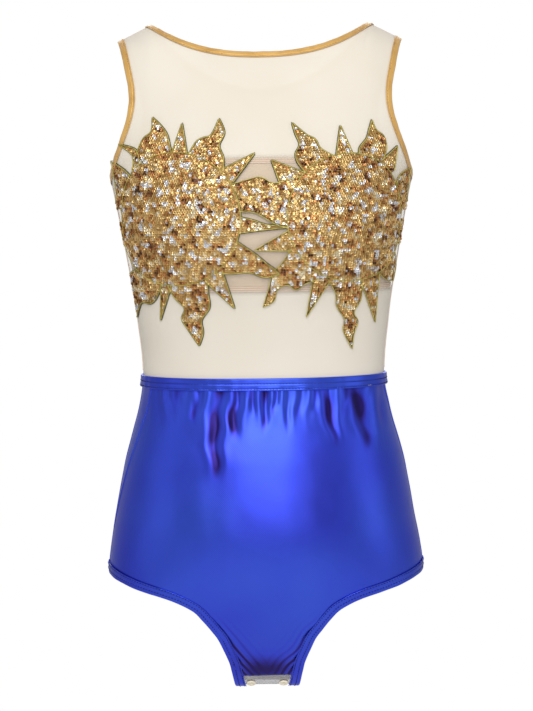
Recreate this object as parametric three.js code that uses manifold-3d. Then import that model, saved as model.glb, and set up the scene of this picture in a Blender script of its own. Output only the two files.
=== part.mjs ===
// Sleeveless gymnastics leotard: sheer top, lined bust band, two sunburst appliques,
// high foil brief and a crotch that opens on two press studs.
// Millimetres, +Z up, the front faces -Y. Left and right are the wearer's own.
// The origin is the middle of the wearer's waist, half way up the waistband.
import * as THREE from 'three';
import { mergeVertices } from 'three/addons/utils/BufferGeometryUtils.js';
import Module from 'manifold-3d';

const wasm = await Module();
wasm.setup();

// ---- Driving dimensions ----

const waistHeight = 323;       // waistband middle above the lowest point of the crotch
const shoulderHeight = 690;    // highest point of the shoulder above the crotch
const neckHalfWidth = 112;
const neckFrontHeight = 657.4;
const neckBackHeight = 628;
const shoulderSlope = 0.52;
const armpitHeight = 532;
const hipEdgeHeight = 124;     // where the leg opening meets the side
const bandTopHeight = 547;
const bandBottomHeight = 417;

// The body inside: height above the crotch, half width, depth in front, depth behind
const stations = [
  [0, 118, 0, 0], [2, 122, 9, 12], [10, 128, 18, 30], [26, 138, 31, 52], [52, 150, 50, 78],
  [90, 160, 74, 102], [130, 163.6, 92, 114], [180, 156, 102, 112], [240, 144.4, 97, 92],
  [318, 125.8, 84, 74], [390, 130.2, 94, 80], [450, 139.6, 113, 90], [490, 146.8, 119, 96],
  [536, 156, 110, 98], [590, 168, 88, 92], [640, 176, 63, 76], [672, 180, 40, 54],
  [687, 182, 14, 30], [shoulderHeight, 182, -8, 8],
];
const roundness = 2.2;         // exponent of each level's rounded oval
const bustSwell = 9;
const bustPlace = { across: 72, height: 478, spread: 42 };

// Edges of the openings: degrees round from the middle, height or girth
const armholeFront = [[53.8, 672], [50.5, 640], [50, 615], [52.5, 595], [58, 576], [66, 558], [76, 542]];
const armholeBack = [[53.8, 672], [49, 640], [47, 612], [49, 588], [56, 566], [66, 550], [77, 538]];
const legFront = [[16, 0], [16, 18], [16, 35], [16.5, 52], [19, 80], [21.5, 94], [24.5, 108],
  [28.5, 121], [37.5, 133], [52, 142], [70, 151]];
const legBack = [[16, 0], [16.5, -25], [18, -52], [20.5, -74], [24.5, -95], [29.5, -111], [38.5, -129],
  [53, -144], [72, -163]];

const clothThickness = 0.8;
const gap = 0.4;
const bindingWidth = 7;
const hemWidth = 11;
const tabHemWidth = 8.5;
const waistbandWidth = 12;
const frontHinge = 62;         // girths from the lowest point of the crotch
const backHinge = -30;
const tapeEnd = 2;
const seamGirth = 27;
const backTapeEnd = 25;
const snapGirth = 13;
const snapSpacing = 34;
const frontTapeLift = -1.1;
const backTapeLift = -5.6;

const columns = 16;            // facets across a panel
const armRows = 8;
const sideRows = 7;
const legRows = 8;
const bandRows = 5;
const neckSteps = 20;

const colours = {
  mesh: 0xf1eae0, lining: 0xd8c8b1, elastic: 0xe4d2bd, satin: 0xcda050, sequin: 0xb08f64,
  foil: 0x4f71e6, cotton: 0xe9e4da, tape: 0xdcdde2, resin: 0xeee3c9,
};

// ---- The body's surface ----

// The trunk line runs down the front, through the crotch, up the back and over the shoulder
function makeTrunkLine() {
  const front = [...stations].reverse().map(([height, half, depth]) => new THREE.Vector3(half, -depth, height));
  const back = stations.slice(1, -1).map(([height, half, , depth]) => new THREE.Vector3(half, depth, height));
  const points = [...front, ...back];
  const curve = new THREE.CatmullRomCurve3(points, true, 'catmullrom', 0.5);
  const stepsPerSpan = 40;
  const samples = curve.getPoints(points.length * stepsPerSpan);
  const lengths = [0];
  for (let i = 1; i < samples.length; i += 1) {
    const rise = samples[i].z - samples[i - 1].z;
    const run = samples[i].y - samples[i - 1].y;
    lengths.push(lengths[i - 1] + Math.hypot(rise, run));
  }
  const crotch = lengths[(stations.length - 1) * stepsPerSpan];
  return { samples, girths: lengths.map((length) => crotch - length), loop: lengths.at(-1) };
}

const trunkLine = makeTrunkLine();
const shoulderGirth = trunkLine.girths[0];
const backShoulderGirth = trunkLine.girths.at(-1);

// Girth is the distance along the trunk line from the crotch, positive up the front
function trunkAt(girth) {
  const { samples, girths, loop } = trunkLine;
  let wanted = girth;
  if (wanted > shoulderGirth) wanted -= loop;
  if (wanted < backShoulderGirth) wanted += loop;
  let low = 0;
  let high = samples.length - 1;
  while (high - low > 1) {
    const middle = (low + high) >> 1;
    if (girths[middle] >= wanted) low = middle;
    else high = middle;
  }
  const part = (girths[low] - wanted) / (girths[low] - girths[high]);
  return samples[low].clone().lerp(samples[high], part);
}

function skinPoint(girth, turn) {
  const trunk = trunkAt(girth);
  const x = trunk.x * Math.sin(turn);
  const fullness = Math.max(0, 1 - Math.abs(Math.sin(turn)) ** roundness) ** (1 / roundness);
  const slope = THREE.MathUtils.smoothstep(trunk.z, 548, shoulderHeight);
  const drop = shoulderSlope * slope * Math.max(0, Math.abs(x) - neckHalfWidth);
  const { across, height, spread } = bustPlace;
  const away = Math.hypot(Math.abs(x) - across, trunk.z - height) / spread;
  const swell = trunk.y < 0 ? bustSwell * Math.exp(-away * away / 2) : 0;
  return new THREE.Vector3(x, (trunk.y - swell) * fullness, trunk.z - drop - waistHeight);
}

function skinNormal(girth, turn) {
  const along = 0.6;
  const around = 0.02;
  const right = skinPoint(girth, Math.min(turn + around, Math.PI / 2));
  const left = skinPoint(girth, Math.max(turn - around, -Math.PI / 2));
  const rise = skinPoint(girth + along, turn).sub(skinPoint(girth - along, turn));
  return right.sub(left).cross(rise).normalize();
}

function lifted(girth, turn, lift) {
  return skinPoint(girth, turn).addScaledVector(skinNormal(girth, turn), lift);
}

// The girth at which the front (side 1) or back (side -1) reaches a height above the crotch
function girthAt(height, turn, side) {
  let low = 0;
  let high = side > 0 ? shoulderGirth : backShoulderGirth;
  for (let i = 0; i < 40; i += 1) {
    const middle = (low + high) / 2;
    if (skinPoint(middle, turn).z < height - waistHeight) low = middle;
    else high = middle;
  }
  return (low + high) / 2;
}

// ---- Edges, as curves of (turn, distance from the crotch along the trunk line) ----

const quarter = Math.PI / 2;
const radians = THREE.MathUtils.degToRad;
const front = { side: 1, neckBottom: neckFrontHeight, neckPower: 2.4, top: shoulderGirth };
const back = { side: -1, neckBottom: neckBackHeight, neckPower: 2.1, top: backShoulderGirth };

// Each edge runs from the side of the body to the shoulder or to the crotch
function armholeCurve(half, list) {
  const points = list.map(([degrees, height]) => {
    const turn = radians(degrees);
    return new THREE.Vector2(turn, Math.abs(girthAt(height, turn, half.side)));
  });
  points[0].y = Math.abs(half.top);
  points.push(new THREE.Vector2(quarter, Math.abs(girthAt(armpitHeight, quarter, half.side))));
  return new THREE.SplineCurve(points.reverse());
}

function legCurve(half, list) {
  const points = list.map(([degrees, girth]) => new THREE.Vector2(radians(degrees), Math.abs(girth)));
  points.push(new THREE.Vector2(quarter, Math.abs(girthAt(hipEdgeHeight, quarter, half.side))));
  return new THREE.SplineCurve(points.reverse());
}

front.armhole = armholeCurve(front, armholeFront);
back.armhole = armholeCurve(back, armholeBack);
front.leg = legCurve(front, legFront);
back.leg = legCurve(back, legBack);

// A point of an edge moved square to it into the cloth; hand is 1 at an armhole, -1 at a leg
function edgePoint(half, curve, part, distance, hand) {
  const at = curve.getPoint(part);
  const ahead = curve.getPoint(Math.min(part + 0.004, 1));
  const behind = curve.getPoint(Math.max(part - 0.004, 0));
  const girth = at.y * half.side;
  const small = 0.05;
  const turnLength = skinPoint(girth, at.x - small).distanceTo(skinPoint(girth, at.x)) / small;
  const run = (ahead.x - behind.x) * turnLength;
  const climb = ahead.y - behind.y;
  const length = Math.hypot(run, climb);
  const turn = part === 0 ? quarter : at.x - hand * climb / length * distance / turnLength;
  return new THREE.Vector2(turn, (at.y + hand * run / length * distance) * half.side);
}

// How far along a leg edge, from 0 at the hip to 1 at the crotch, a girth is reached
function legPartAt(half, girth) {
  let low = 0;
  let high = 1;
  for (let i = 0; i < 40; i += 1) {
    const middle = (low + high) / 2;
    if (half.leg.getPoint(middle).y > Math.abs(girth)) low = middle;
    else high = middle;
  }
  return (low + high) / 2;
}

// The neck edge in front or behind, or a curve that lies a margin below and outside it
function neckGirth(half, turn, margin = 0) {
  const halfWidth = neckHalfWidth + margin;
  const bottom = half.neckBottom - margin;
  if (Math.abs(skinPoint(half.top, turn).x) > halfWidth) return half.top;
  let low = 0;
  let high = half.top;
  for (let i = 0; i < 40; i += 1) {
    const middle = (low + high) / 2;
    const point = skinPoint(middle, turn);
    const share = Math.min(1, Math.abs(point.x) / halfWidth);
    const edge = bottom + (shoulderHeight - bottom) * share ** half.neckPower;
    if (point.z + waistHeight < edge) low = middle;
    else high = middle;
  }
  return (low + high) / 2;
}

// ---- Building solids ----

function solidGeometry(points, faces) {
  let volume = 0;
  for (const [a, b, c] of faces) volume += points[a].dot(points[b].clone().cross(points[c]));
  const outward = volume > 0 ? faces : faces.map(([a, b, c]) => [a, c, b]);
  const geometry = new THREE.BufferGeometry();
  geometry.setFromPoints(points);
  geometry.setIndex(outward.flat());
  return geometry;
}

// A cloth panel: place(row, w) gives turn and girth for each row, with w from -1 to 1 across it
function panelGeometry(half, rows, place, { cols = columns, lift = () => 0, thick = clothThickness } = {}) {
  const points = [];
  for (const face of [0.5, -0.5]) {
    for (let row = 0; row <= rows; row += 1) {
      for (let col = 0; col <= cols; col += 1) {
        const at = place(row, 2 * col / cols - 1);
        const point = lifted(at.y, at.x, lift(at.y) + face * thick);
        point.y -= half.side * gap / 2;
        points.push(point);
      }
    }
  }
  const stride = cols + 1;
  const layer = (rows + 1) * stride;
  const faces = [];
  for (let row = 0; row < rows; row += 1) {
    for (let col = 0; col < cols; col += 1) {
      const a = row * stride + col;
      const b = a + 1;
      const c = a + stride;
      const d = c + 1;
      faces.push([a, b, d], [a, d, c]);
      faces.push([layer + a, layer + d, layer + b], [layer + a, layer + c, layer + d]);
    }
  }
  const rim = [];
  for (let col = 0; col < cols; col += 1) rim.push(col);
  for (let row = 0; row < rows; row += 1) rim.push(row * stride + cols);
  for (let col = cols; col > 0; col -= 1) rim.push(rows * stride + col);
  for (let row = rows; row > 0; row -= 1) rim.push(row * stride);
  rim.forEach((a, i) => {
    const b = rim[(i + 1) % rim.length];
    faces.push([a, layer + a, layer + b], [a, layer + b, b]);
  });
  return solidGeometry(points, faces);
}

function centreOf(points) {
  const sum = new THREE.Vector3();
  for (const point of points) sum.add(point);
  return sum.divideScalar(points.length);
}

// A strip along an edge. Section points are [distance into the cloth, lift from the skin], and
// the cloth lies away from the given point, which is the middle of the opening unless stated.
function stripGeometry(path, section, { closed = false, awayFrom = null } = {}) {
  const count = path.length;
  const places = path.map((at) => skinPoint(at.y, at.x));
  const normals = path.map((at) => skinNormal(at.y, at.x));
  const origin = awayFrom ?? centreOf(places);
  const acrosses = places.map((place, i) => {
    const next = places[closed ? (i + 1) % count : Math.min(i + 1, count - 1)];
    const last = places[closed ? (i + count - 1) % count : Math.max(i - 1, 0)];
    return next.clone().sub(last).cross(normals[i]).normalize();
  });
  let facing = 0;
  acrosses.forEach((across, i) => {
    facing += Math.sign(across.dot(places[i].clone().sub(origin)));
  });
  const points = [];
  for (let i = 0; i < count; i += 1) {
    for (const [into, lift] of section) {
      const point = places[i].clone().addScaledVector(acrosses[i], into * Math.sign(facing));
      points.push(point.addScaledVector(normals[i], lift));
    }
  }
  const size = section.length;
  const faces = [];
  for (let i = 0; i < (closed ? count : count - 1); i += 1) {
    for (let k = 0; k < size; k += 1) {
      const a = i * size + k;
      const b = i * size + (k + 1) % size;
      const c = ((i + 1) % count) * size + k;
      const d = ((i + 1) % count) * size + (k + 1) % size;
      faces.push([a, b, d], [a, d, c]);
    }
  }
  if (!closed) {
    const contour = section.map(([into, lift]) => new THREE.Vector2(into, lift));
    const outline = Math.sign(THREE.ShapeUtils.area(contour));
    const lastRing = (count - 1) * size;
    for (const [a, b, c] of THREE.ShapeUtils.triangulateShape(contour, [])) {
      const same = Math.sign(THREE.ShapeUtils.area([contour[a], contour[b], contour[c]])) === outline;
      const ordered = same ? [a, b, c] : [a, c, b];
      faces.push([...ordered].reverse(), ordered.map((corner) => lastRing + corner));
    }
  }
  return solidGeometry(points, faces);
}

function foldSection(width, inner, outer, wall) {
  return [[0, inner], [width, inner], [width, inner + wall], [wall, inner + wall],
    [wall, outer - wall], [width, outer - wall], [width, outer], [0, outer]];
}

function flatSection(start, end, inner, outer) {
  return [[start, inner], [end, inner], [end, outer], [start, outer]];
}

function toManifold(geometry) {
  const plain = geometry.clone();
  plain.deleteAttribute('normal');
  plain.deleteAttribute('uv');
  const merged = mergeVertices(plain, 1e-4);
  return new wasm.Manifold(new wasm.Mesh({
    numProp: 3,
    vertProperties: merged.attributes.position.array,
    triVerts: new Uint32Array(merged.index.array),
  }));
}

function fromManifold(manifold) {
  const pieces = manifold.decompose();
  pieces.sort((a, b) => b.volume() - a.volume());
  const mesh = pieces[0].getMesh();
  const geometry = new THREE.BufferGeometry();
  geometry.setAttribute('position', new THREE.BufferAttribute(mesh.vertProperties, 3));
  geometry.setIndex(new THREE.BufferAttribute(mesh.triVerts, 1));
  return geometry;
}

// ---- The garment ----

const leotard = new THREE.Group();

function addPiece(name, geometry, color, { roughness = 0.8, metalness = 0 } = {}) {
  const material = new THREE.MeshStandardMaterial({ color, roughness, metalness });
  const mesh = new THREE.Mesh(geometry, material);
  mesh.name = name;
  leotard.add(mesh);
  return mesh;
}

const foilFinish = { roughness: 0.3, metalness: 0.8 };

// ---- Sheer top, front and back ----

const topRows = sideRows + armRows;

function topPlace(half, margin) {
  const waist = girthAt(waistHeight + gap / 2, 0, half.side);
  const armpit = edgePoint(half, half.armhole, 0, margin, 1).y;
  return (row, w) => {
    const climb = Math.min(1, row / sideRows);
    let edge = new THREE.Vector2(quarter, THREE.MathUtils.lerp(waist, armpit, climb));
    if (row > sideRows) edge = edgePoint(half, half.armhole, (row - sideRows) / armRows, margin, 1);
    if (row === topRows) edge.y = half.top;
    const turn = w * edge.x;
    const share = (neckGirth(half, turn, margin) - waist) / (half.top - waist);
    return new THREE.Vector2(turn, waist + (edge.y - waist) * share);
  };
}

const topMargin = bindingWidth + 1.6;
const frontTop = topPlace(front, topMargin);
const backTop = topPlace(back, topMargin);
addPiece('front_mesh_panel', panelGeometry(front, topRows, frontTop), colours.mesh);
addPiece('back_mesh_panel', panelGeometry(back, topRows, backTop), colours.mesh);

// ---- Satin bindings folded over the neck and armhole edges ----

function neckPath() {
  const peak = Math.asin(neckHalfWidth / trunkAt(shoulderGirth).x);
  const path = [];
  for (const half of [front, back]) {
    for (let i = 0; i < neckSteps; i += 1) {
      const turn = half.side * THREE.MathUtils.lerp(-peak, peak, i / neckSteps);
      path.push(new THREE.Vector2(turn, i === 0 ? half.top : neckGirth(half, turn)));
    }
  }
  return path;
}

function armholePath(hand) {
  const path = [];
  for (let i = 0; i < armRows; i += 1) path.push(edgePoint(front, front.armhole, i / armRows, 0, 1));
  for (let i = armRows; i > 0; i -= 1) path.push(edgePoint(back, back.armhole, i / armRows, 0, 1));
  return path.map((at) => new THREE.Vector2(at.x * hand, at.y));
}

const bindingSection = foldSection(bindingWidth, -1.6, 1.6, 0.6);
addPiece('neck_binding', stripGeometry(neckPath(), bindingSection, { closed: true }), colours.satin);
for (const [name, hand] of [['left', 1], ['right', -1]]) {
  const geometry = stripGeometry(armholePath(hand), bindingSection, { closed: true });
  addPiece(`armhole_binding_${name}`, geometry, colours.satin);
}

// ---- Bust band inside the top, with an elastic at each edge ----

const bandLift = -4;
const bandSideDrop = 30;

function levelPlace(half, bottom, top, rows) {
  return (row, w) => {
    const turn = w * quarter;
    const sideDrop = bandSideDrop * Math.abs(w) ** 3 * row / rows;
    const height = THREE.MathUtils.lerp(bottom, top, row / rows) - sideDrop;
    return new THREE.Vector2(turn, girthAt(height, turn, half.side));
  };
}

for (const [name, half] of [['front', front], ['back', back]]) {
  const place = levelPlace(half, bandBottomHeight, bandTopHeight, bandRows);
  const geometry = panelGeometry(half, bandRows, place, { lift: () => bandLift });
  addPiece(`bust_band_${name}`, geometry, colours.lining);
}

// A ring round the body at a height, dropping towards the sides by sideDrop
function ringPath(height, sideDrop = 0) {
  const path = [];
  for (const half of [front, back]) {
    for (let i = 0; i < columns; i += 1) {
      const w = half.side * (2 * i / columns - 1);
      const drop = sideDrop * Math.abs(w) ** 3;
      path.push(new THREE.Vector2(w * quarter, girthAt(height - drop, w * quarter, half.side)));
    }
  }
  return path;
}

const bandElasticSection = flatSection(-3, 3, -6.2, -5.3);
const bandTopRing = ringPath(bandTopHeight - 4, bandSideDrop);
const bandBottomRing = ringPath(bandBottomHeight + 4);
for (const [name, ring] of [['top', bandTopRing], ['bottom', bandBottomRing]]) {
  const geometry = stripGeometry(ring, bandElasticSection, { closed: true });
  addPiece(`bust_band_${name}_elastic`, geometry, colours.elastic);
}

// ---- Sunburst appliques: a disc with flames and spikes, cut from a layer over the top ----

// A ray's edges run from the disc to its tip, on the wearer's right (a) and left (b): across and height
const suns = {
  right: {
    centre: [-87, 490],
    radius: 66,
    rays: [
      { a: [[-129, 540], [-123, 559], [-117, 571], [-109, 578]], tip: [-108, 592], b: [[-99, 583], [-93, 574], [-90, 562], [-88, 552]] },
      { a: [[-88, 556]], tip: [-78, 585], b: [[-73, 554]] },
      { a: [[-72, 553], [-64, 566], [-57, 570], [-49, 573]], tip: [-41, 589], b: [[-36, 575], [-41, 562], [-37, 550], [-37, 538]] },
      { a: [[-39, 538]], tip: [-6, 554], b: [[-28, 525]] },
      { a: [[-24, 492], [-8, 488], [4, 484]], tip: [27, 481], b: [[5, 479], [-22, 476]] },
      { a: [[-24, 467], [-8, 456], [4, 446], [12, 440]], tip: [17, 435], b: [[2, 432], [-13, 437], [-30, 436], [-46, 437]] },
      { a: [[-40, 440]], tip: [-28, 401], b: [[-58, 430]] },
      { a: [[-56, 432], [-53, 409], [-59, 390]], tip: [-66, 366], b: [[-79, 391], [-86, 400], [-92, 414], [-96, 428]] },
      { a: [[-90, 426]], tip: [-103, 388], b: [[-101, 428]] },
      { a: [[-99, 428], [-106, 411], [-116, 402]], tip: [-129, 389], b: [[-137, 412], [-136, 434], [-126, 440]] },
      { a: [[-132, 478], [-128, 462]], tip: [-150, 450], b: [[-150, 470], [-148, 486]] },
      { a: [[-150, 500], [-147, 520]], tip: [-152, 550], b: [[-137, 540], [-128, 530]] },
      { a: [[-128, 541], [-129, 555]], tip: [-143, 566], b: [[-125, 560], [-121, 546]] },
    ],
  },
  left: {
    centre: [88, 490],
    radius: 63,
    rays: [
      { a: [[45, 532], [36, 544], [34, 553], [37, 562], [30, 573]], tip: [32, 581], b: [[48, 571], [55, 567], [59, 558], [74, 549]] },
      { a: [[74, 550]], tip: [79, 581], b: [[92, 550]] },
      { a: [[96, 550], [98, 563], [104, 571]], tip: [112, 585], b: [[123, 573], [126, 561], [121, 546]] },
      { a: [[120, 546]], tip: [137, 561], b: [[133, 536]] },
      { a: [[18, 524]], tip: [10, 547], b: [[48, 532]] },
      { a: [[45, 531], [30, 528], [12, 524], [-1, 530], [-20, 526]], tip: [-60, 515], b: [[-26, 498], [-9, 496], [2, 491], [14, 484], [32, 478]] },
      { a: [[30, 480]], tip: [-8, 459], b: [[30, 458]] },
      { a: [[28, 460], [21, 447], [16, 434], [6, 428]], tip: [0, 403], b: [[13, 411], [24, 420], [33, 418], [42, 426], [56, 430]] },
      { a: [[50, 432]], tip: [43, 391], b: [[67, 428]] },
      { a: [[64, 430], [67, 409], [75, 389]], tip: [88, 359], b: [[93, 384], [96, 402], [97, 430]] },
      { a: [[97, 428]], tip: [113, 383], b: [[117, 434]] },
      { a: [[112, 440], [122, 428]], tip: [133, 424], b: [[136, 440], [134, 455]] },
      { a: [[137, 478], [138, 462]], tip: [150, 450], b: [[149, 470], [150, 488]] },
      { a: [[150, 496], [148, 512]], tip: [151, 540], b: [[139, 532], [135, 520]] },
    ],
  },
};

// The outline runs up one edge to the tip, down the other and in towards the disc's middle
function rayShape(ray, centre) {
  const edge = (points) => points.map(([across, height]) => new THREE.Vector2(across, height));
  const base = edge([ray.a[0], ray.b.at(-1), centre]);
  const inner = base[0].clone().add(base[1]).multiplyScalar(0.3).addScaledVector(base[2], 0.4);
  return new THREE.Shape([...edge(ray.a), ...edge([ray.tip]), ...edge(ray.b), inner]);
}

// A straight block of the outline's shape, standing through the front of the garment
function block(shape) {
  const geometry = new THREE.ExtrudeGeometry(shape, { depth: 200, bevelEnabled: false });
  geometry.rotateX(quarter);
  geometry.translate(0, 0, -waistHeight);
  return toManifold(geometry);
}

const discSides = 32;

function sunBlock(sun) {
  const centre = new THREE.Vector2(...sun.centre);
  const rim = [];
  for (let i = 0; i < discSides; i += 1) {
    const angle = 2 * Math.PI * i / discSides;
    rim.push(new THREE.Vector2(Math.cos(angle), Math.sin(angle)).multiplyScalar(sun.radius).add(centre));
  }
  let whole = block(new THREE.Shape(rim));
  for (const ray of sun.rays) whole = whole.add(block(rayShape(ray, sun.centre)));
  return whole;
}

const sunLayer = toManifold(panelGeometry(front, topRows, frontTop, { lift: () => 2.2, thick: 1 }));
const rightBlock = sunBlock(suns.right);
const rightSun = sunLayer.intersect(rightBlock);
let leftSun = sunLayer.intersect(sunBlock(suns.left));
for (const [across, up] of [[gap, 0], [-gap, 0], [0, gap], [0, -gap]]) {
  leftSun = leftSun.subtract(rightBlock.translate([across, 0, up]));
}
const sequinFinish = { roughness: 0.35, metalness: 0.7 };
addPiece('applique_right', fromManifold(rightSun), colours.sequin, sequinFinish);
addPiece('applique_left', fromManifold(leftSun), colours.sequin, sequinFinish);

// ---- Waistband casing with its elastic ----

const waistRing = ringPath(waistHeight);
const halfBand = waistbandWidth / 2;
const waistbandSection = [[-halfBand, 1.5], [-halfBand, 3.2], [halfBand, 3.2], [halfBand, 1.5],
  [halfBand - 0.6, 1.5], [halfBand - 0.6, 2.6], [-halfBand + 0.6, 2.6], [-halfBand + 0.6, 1.5]];
const waistElasticSection = flatSection(-halfBand + 1.1, halfBand - 1.1, 1.3, 2.2);
addPiece('waistband', stripGeometry(waistRing, waistbandSection, { closed: true }), colours.foil, foilFinish);
addPiece('waist_elastic', stripGeometry(waistRing, waistElasticSection, { closed: true }), colours.elastic);

// ---- Foil brief, down to the hinge line of each crotch tab ----

const briefMargin = hemWidth + 1;

function briefPlace(half, hinge) {
  const waist = girthAt(waistHeight - gap / 2, 0, half.side);
  const last = legPartAt(half, hinge);
  const hip = edgePoint(half, half.leg, 0, briefMargin, -1).y;
  const rows = sideRows + legRows;
  return (row, w) => {
    let edge = new THREE.Vector2(quarter, THREE.MathUtils.lerp(waist, hip, Math.min(1, row / sideRows)));
    if (row > sideRows) {
      edge = edgePoint(half, half.leg, last * (row - sideRows) / legRows, briefMargin, -1);
    }
    if (row === rows) edge.y = hinge;
    const middle = THREE.MathUtils.lerp(waist, hinge, row / rows);
    return new THREE.Vector2(w * edge.x, middle + (edge.y - middle) * Math.abs(w) ** 2);
  };
}

const panelSlit = 0.8;         // clear of a tab's edge as it turns
const tabSlit = 0.5;
const frontBrief = briefPlace(front, frontHinge + panelSlit);
const backBrief = briefPlace(back, backHinge - panelSlit);
const briefRows = sideRows + legRows;
addPiece('brief_front_panel', panelGeometry(front, briefRows, frontBrief), colours.foil, foilFinish);
addPiece('brief_back_panel', panelGeometry(back, briefRows, backBrief), colours.foil, foilFinish);

// ---- Leg hems: a folded casing along each leg edge, with elastic inside ----

function legPath(hand) {
  const path = [];
  const ends = [legPartAt(front, frontHinge + panelSlit), legPartAt(back, backHinge - panelSlit)];
  for (let i = legRows; i > 0; i -= 1) {
    path.push(edgePoint(front, front.leg, ends[0] * i / legRows, 0, -1));
  }
  for (let i = 0; i <= legRows; i += 1) {
    path.push(edgePoint(back, back.leg, ends[1] * i / legRows, 0, -1));
  }
  return path.map((at) => new THREE.Vector2(at.x * hand, at.y));
}

const hemSection = foldSection(hemWidth, -2.5, 0.4, 0.6);
const tabHemSection = foldSection(tabHemWidth, -2.5, 0.4, 0.6);
const legElasticSection = flatSection(1.4, hemWidth - 1, -1.4, -0.7);
for (const [name, hand] of [['left', 1], ['right', -1]]) {
  const path = legPath(hand);
  addPiece(`leg_hem_${name}`, stripGeometry(path, hemSection), colours.foil, foilFinish);
  addPiece(`leg_elastic_${name}`, stripGeometry(path, legElasticSection), colours.elastic);
}

// ---- Cotton gusset lining inside the brief, front and back ----

const crotchTurn = radians(16);

function liningPlace(start, end, rows) {
  return (row, w) => {
    const girth = THREE.MathUtils.lerp(start, end, row / rows);
    return new THREE.Vector2(w * crotchTurn * 0.65, girth);
  };
}

const liningRows = 4;
const liningCols = 4;
for (const [name, half, start, end] of [['front', front, 66, 112], ['back', back, -36, -92]]) {
  const place = liningPlace(start, end, liningRows);
  const geometry = panelGeometry(half, liningRows, place, { cols: liningCols, lift: () => -3.2 });
  addPiece(`gusset_lining_${name}`, geometry, colours.cotton);
}

// ---- Crotch tabs, their hems and the snap tapes ----

const tabRows = 5;
const tabCols = 4;

// The back tab runs in under the front one
function backTabLift(girth) {
  return backTapeLift * THREE.MathUtils.smoothstep(girth, backHinge, -5);
}

// A strip of the crotch between two girths, a given distance in from both leg edges
function tabPlace(start, end, rows, margin) {
  return (row, w) => {
    const girth = THREE.MathUtils.lerp(start, end, row / rows);
    const halfTurn = crotchTurn - margin / trunkAt(girth).x;
    return new THREE.Vector2(w * halfTurn, girth);
  };
}

function tabHemPath(start, end, hand) {
  const path = [];
  for (let i = 0; i <= tabRows; i += 1) {
    path.push(new THREE.Vector2(hand * crotchTurn, THREE.MathUtils.lerp(start, end, i / tabRows)));
  }
  return path;
}

const tabMargin = tabHemWidth + gap;
const frontTabPlace = tabPlace(seamGirth, frontHinge - tabSlit, tabRows, tabMargin);
const backTabPlace = tabPlace(backHinge + tabSlit, -1, tabRows, tabMargin);
addPiece('front_tab', panelGeometry(front, tabRows, frontTabPlace, { cols: tabCols }), colours.foil, foilFinish);
addPiece('back_tab', panelGeometry(front, tabRows, backTabPlace, { cols: tabCols, lift: backTabLift }),
  colours.foil, foilFinish);
for (const [name, hand] of [['left', 1], ['right', -1]]) {
  const beside = new THREE.Vector3(hand * 1000, 0, -waistHeight);
  const path = tabHemPath(tapeEnd, frontHinge - tabSlit, hand);
  const geometry = stripGeometry(path, tabHemSection, { awayFrom: beside });
  addPiece(`front_tab_hem_${name}`, geometry, colours.foil, foilFinish);
}

// ---- Press studs, two pairs ----

const snapTurn = Math.asin(snapSpacing / 2 / trunkAt(snapGirth).x);
const postRadius = 1;

// Profiles are [radius, lift from the skin], from the innermost face outwards
const snapProfiles = {
  front_snap_cap: [[0, -2.6], [postRadius, -2.6], [postRadius, -0.3], [4.8, -0.3], [4.8, 0.4], [4, 1.2],
    [2.6, 1.2], [2.2, 0.6], [0, 0.6]],
  front_snap_socket: [[1.3, -2.9], [2.4, -2.9], [2.4, -3.9], [3.7, -3.9], [4.2, -3.4], [4.2, -2.2],
    [1.3, -2.2]],
  back_snap_stud: [[1.3, -4.95], [4.2, -4.95], [4.2, -4.6], [2.1, -4.4], [1.7, -3.2], [1.3, -3.2]],
  back_snap_cap: [[0, -8.3], [3.8, -8.3], [4.4, -7.8], [4.4, -7.2], [postRadius, -7.2],
    [postRadius, -3.6], [0, -3.6]],
};

function snapGeometry(profile) {
  const points = profile.map(([radius, lift]) => new THREE.Vector2(radius, lift));
  const ring = profile[0][0] > 0;
  if (ring) points.push(points[0].clone());
  return new THREE.LatheGeometry(points, 16);
}

function snapPose(hand) {
  const turn = hand * snapTurn;
  const normal = skinNormal(snapGirth, turn);
  const tilt = new THREE.Quaternion().setFromUnitVectors(new THREE.Vector3(0, 1, 0), normal);
  return { position: skinPoint(snapGirth, turn), tilt };
}

function withPostHoles(geometry) {
  let tape = toManifold(geometry);
  for (const hand of [1, -1]) {
    const drill = new THREE.CylinderGeometry(postRadius + 0.3, postRadius + 0.3, 30, 16);
    const { position, tilt } = snapPose(hand);
    drill.applyQuaternion(tilt);
    drill.translate(...position.toArray());
    tape = tape.subtract(toManifold(drill));
  }
  return fromManifold(tape);
}

const tapeRows = 6;
const frontTape = panelGeometry(front, tapeRows, tabPlace(tapeEnd, seamGirth - gap, tapeRows, tabMargin), {
  cols: tabCols,
  lift: () => frontTapeLift,
});
const backTape = panelGeometry(front, tapeRows, tabPlace(-0.5, backTapeEnd, tapeRows, tabMargin), {
  cols: tabCols,
  lift: () => backTapeLift,
});
addPiece('front_snap_tape', withPostHoles(frontTape), colours.tape);
addPiece('back_snap_tape', withPostHoles(backTape), colours.tape);
for (const [side, hand] of [['left', 1], ['right', -1]]) {
  for (const [name, profile] of Object.entries(snapProfiles)) {
    const snap = addPiece(`${name}_${side}`, snapGeometry(profile), colours.resin, { roughness: 0.35 });
    const { position, tilt } = snapPose(hand);
    snap.position.copy(position);
    snap.quaternion.copy(tilt);
  }
}

export default leotard;
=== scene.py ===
import math
import random

import bpy
import numpy as np
from mathutils import Matrix, Vector, noise


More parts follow.
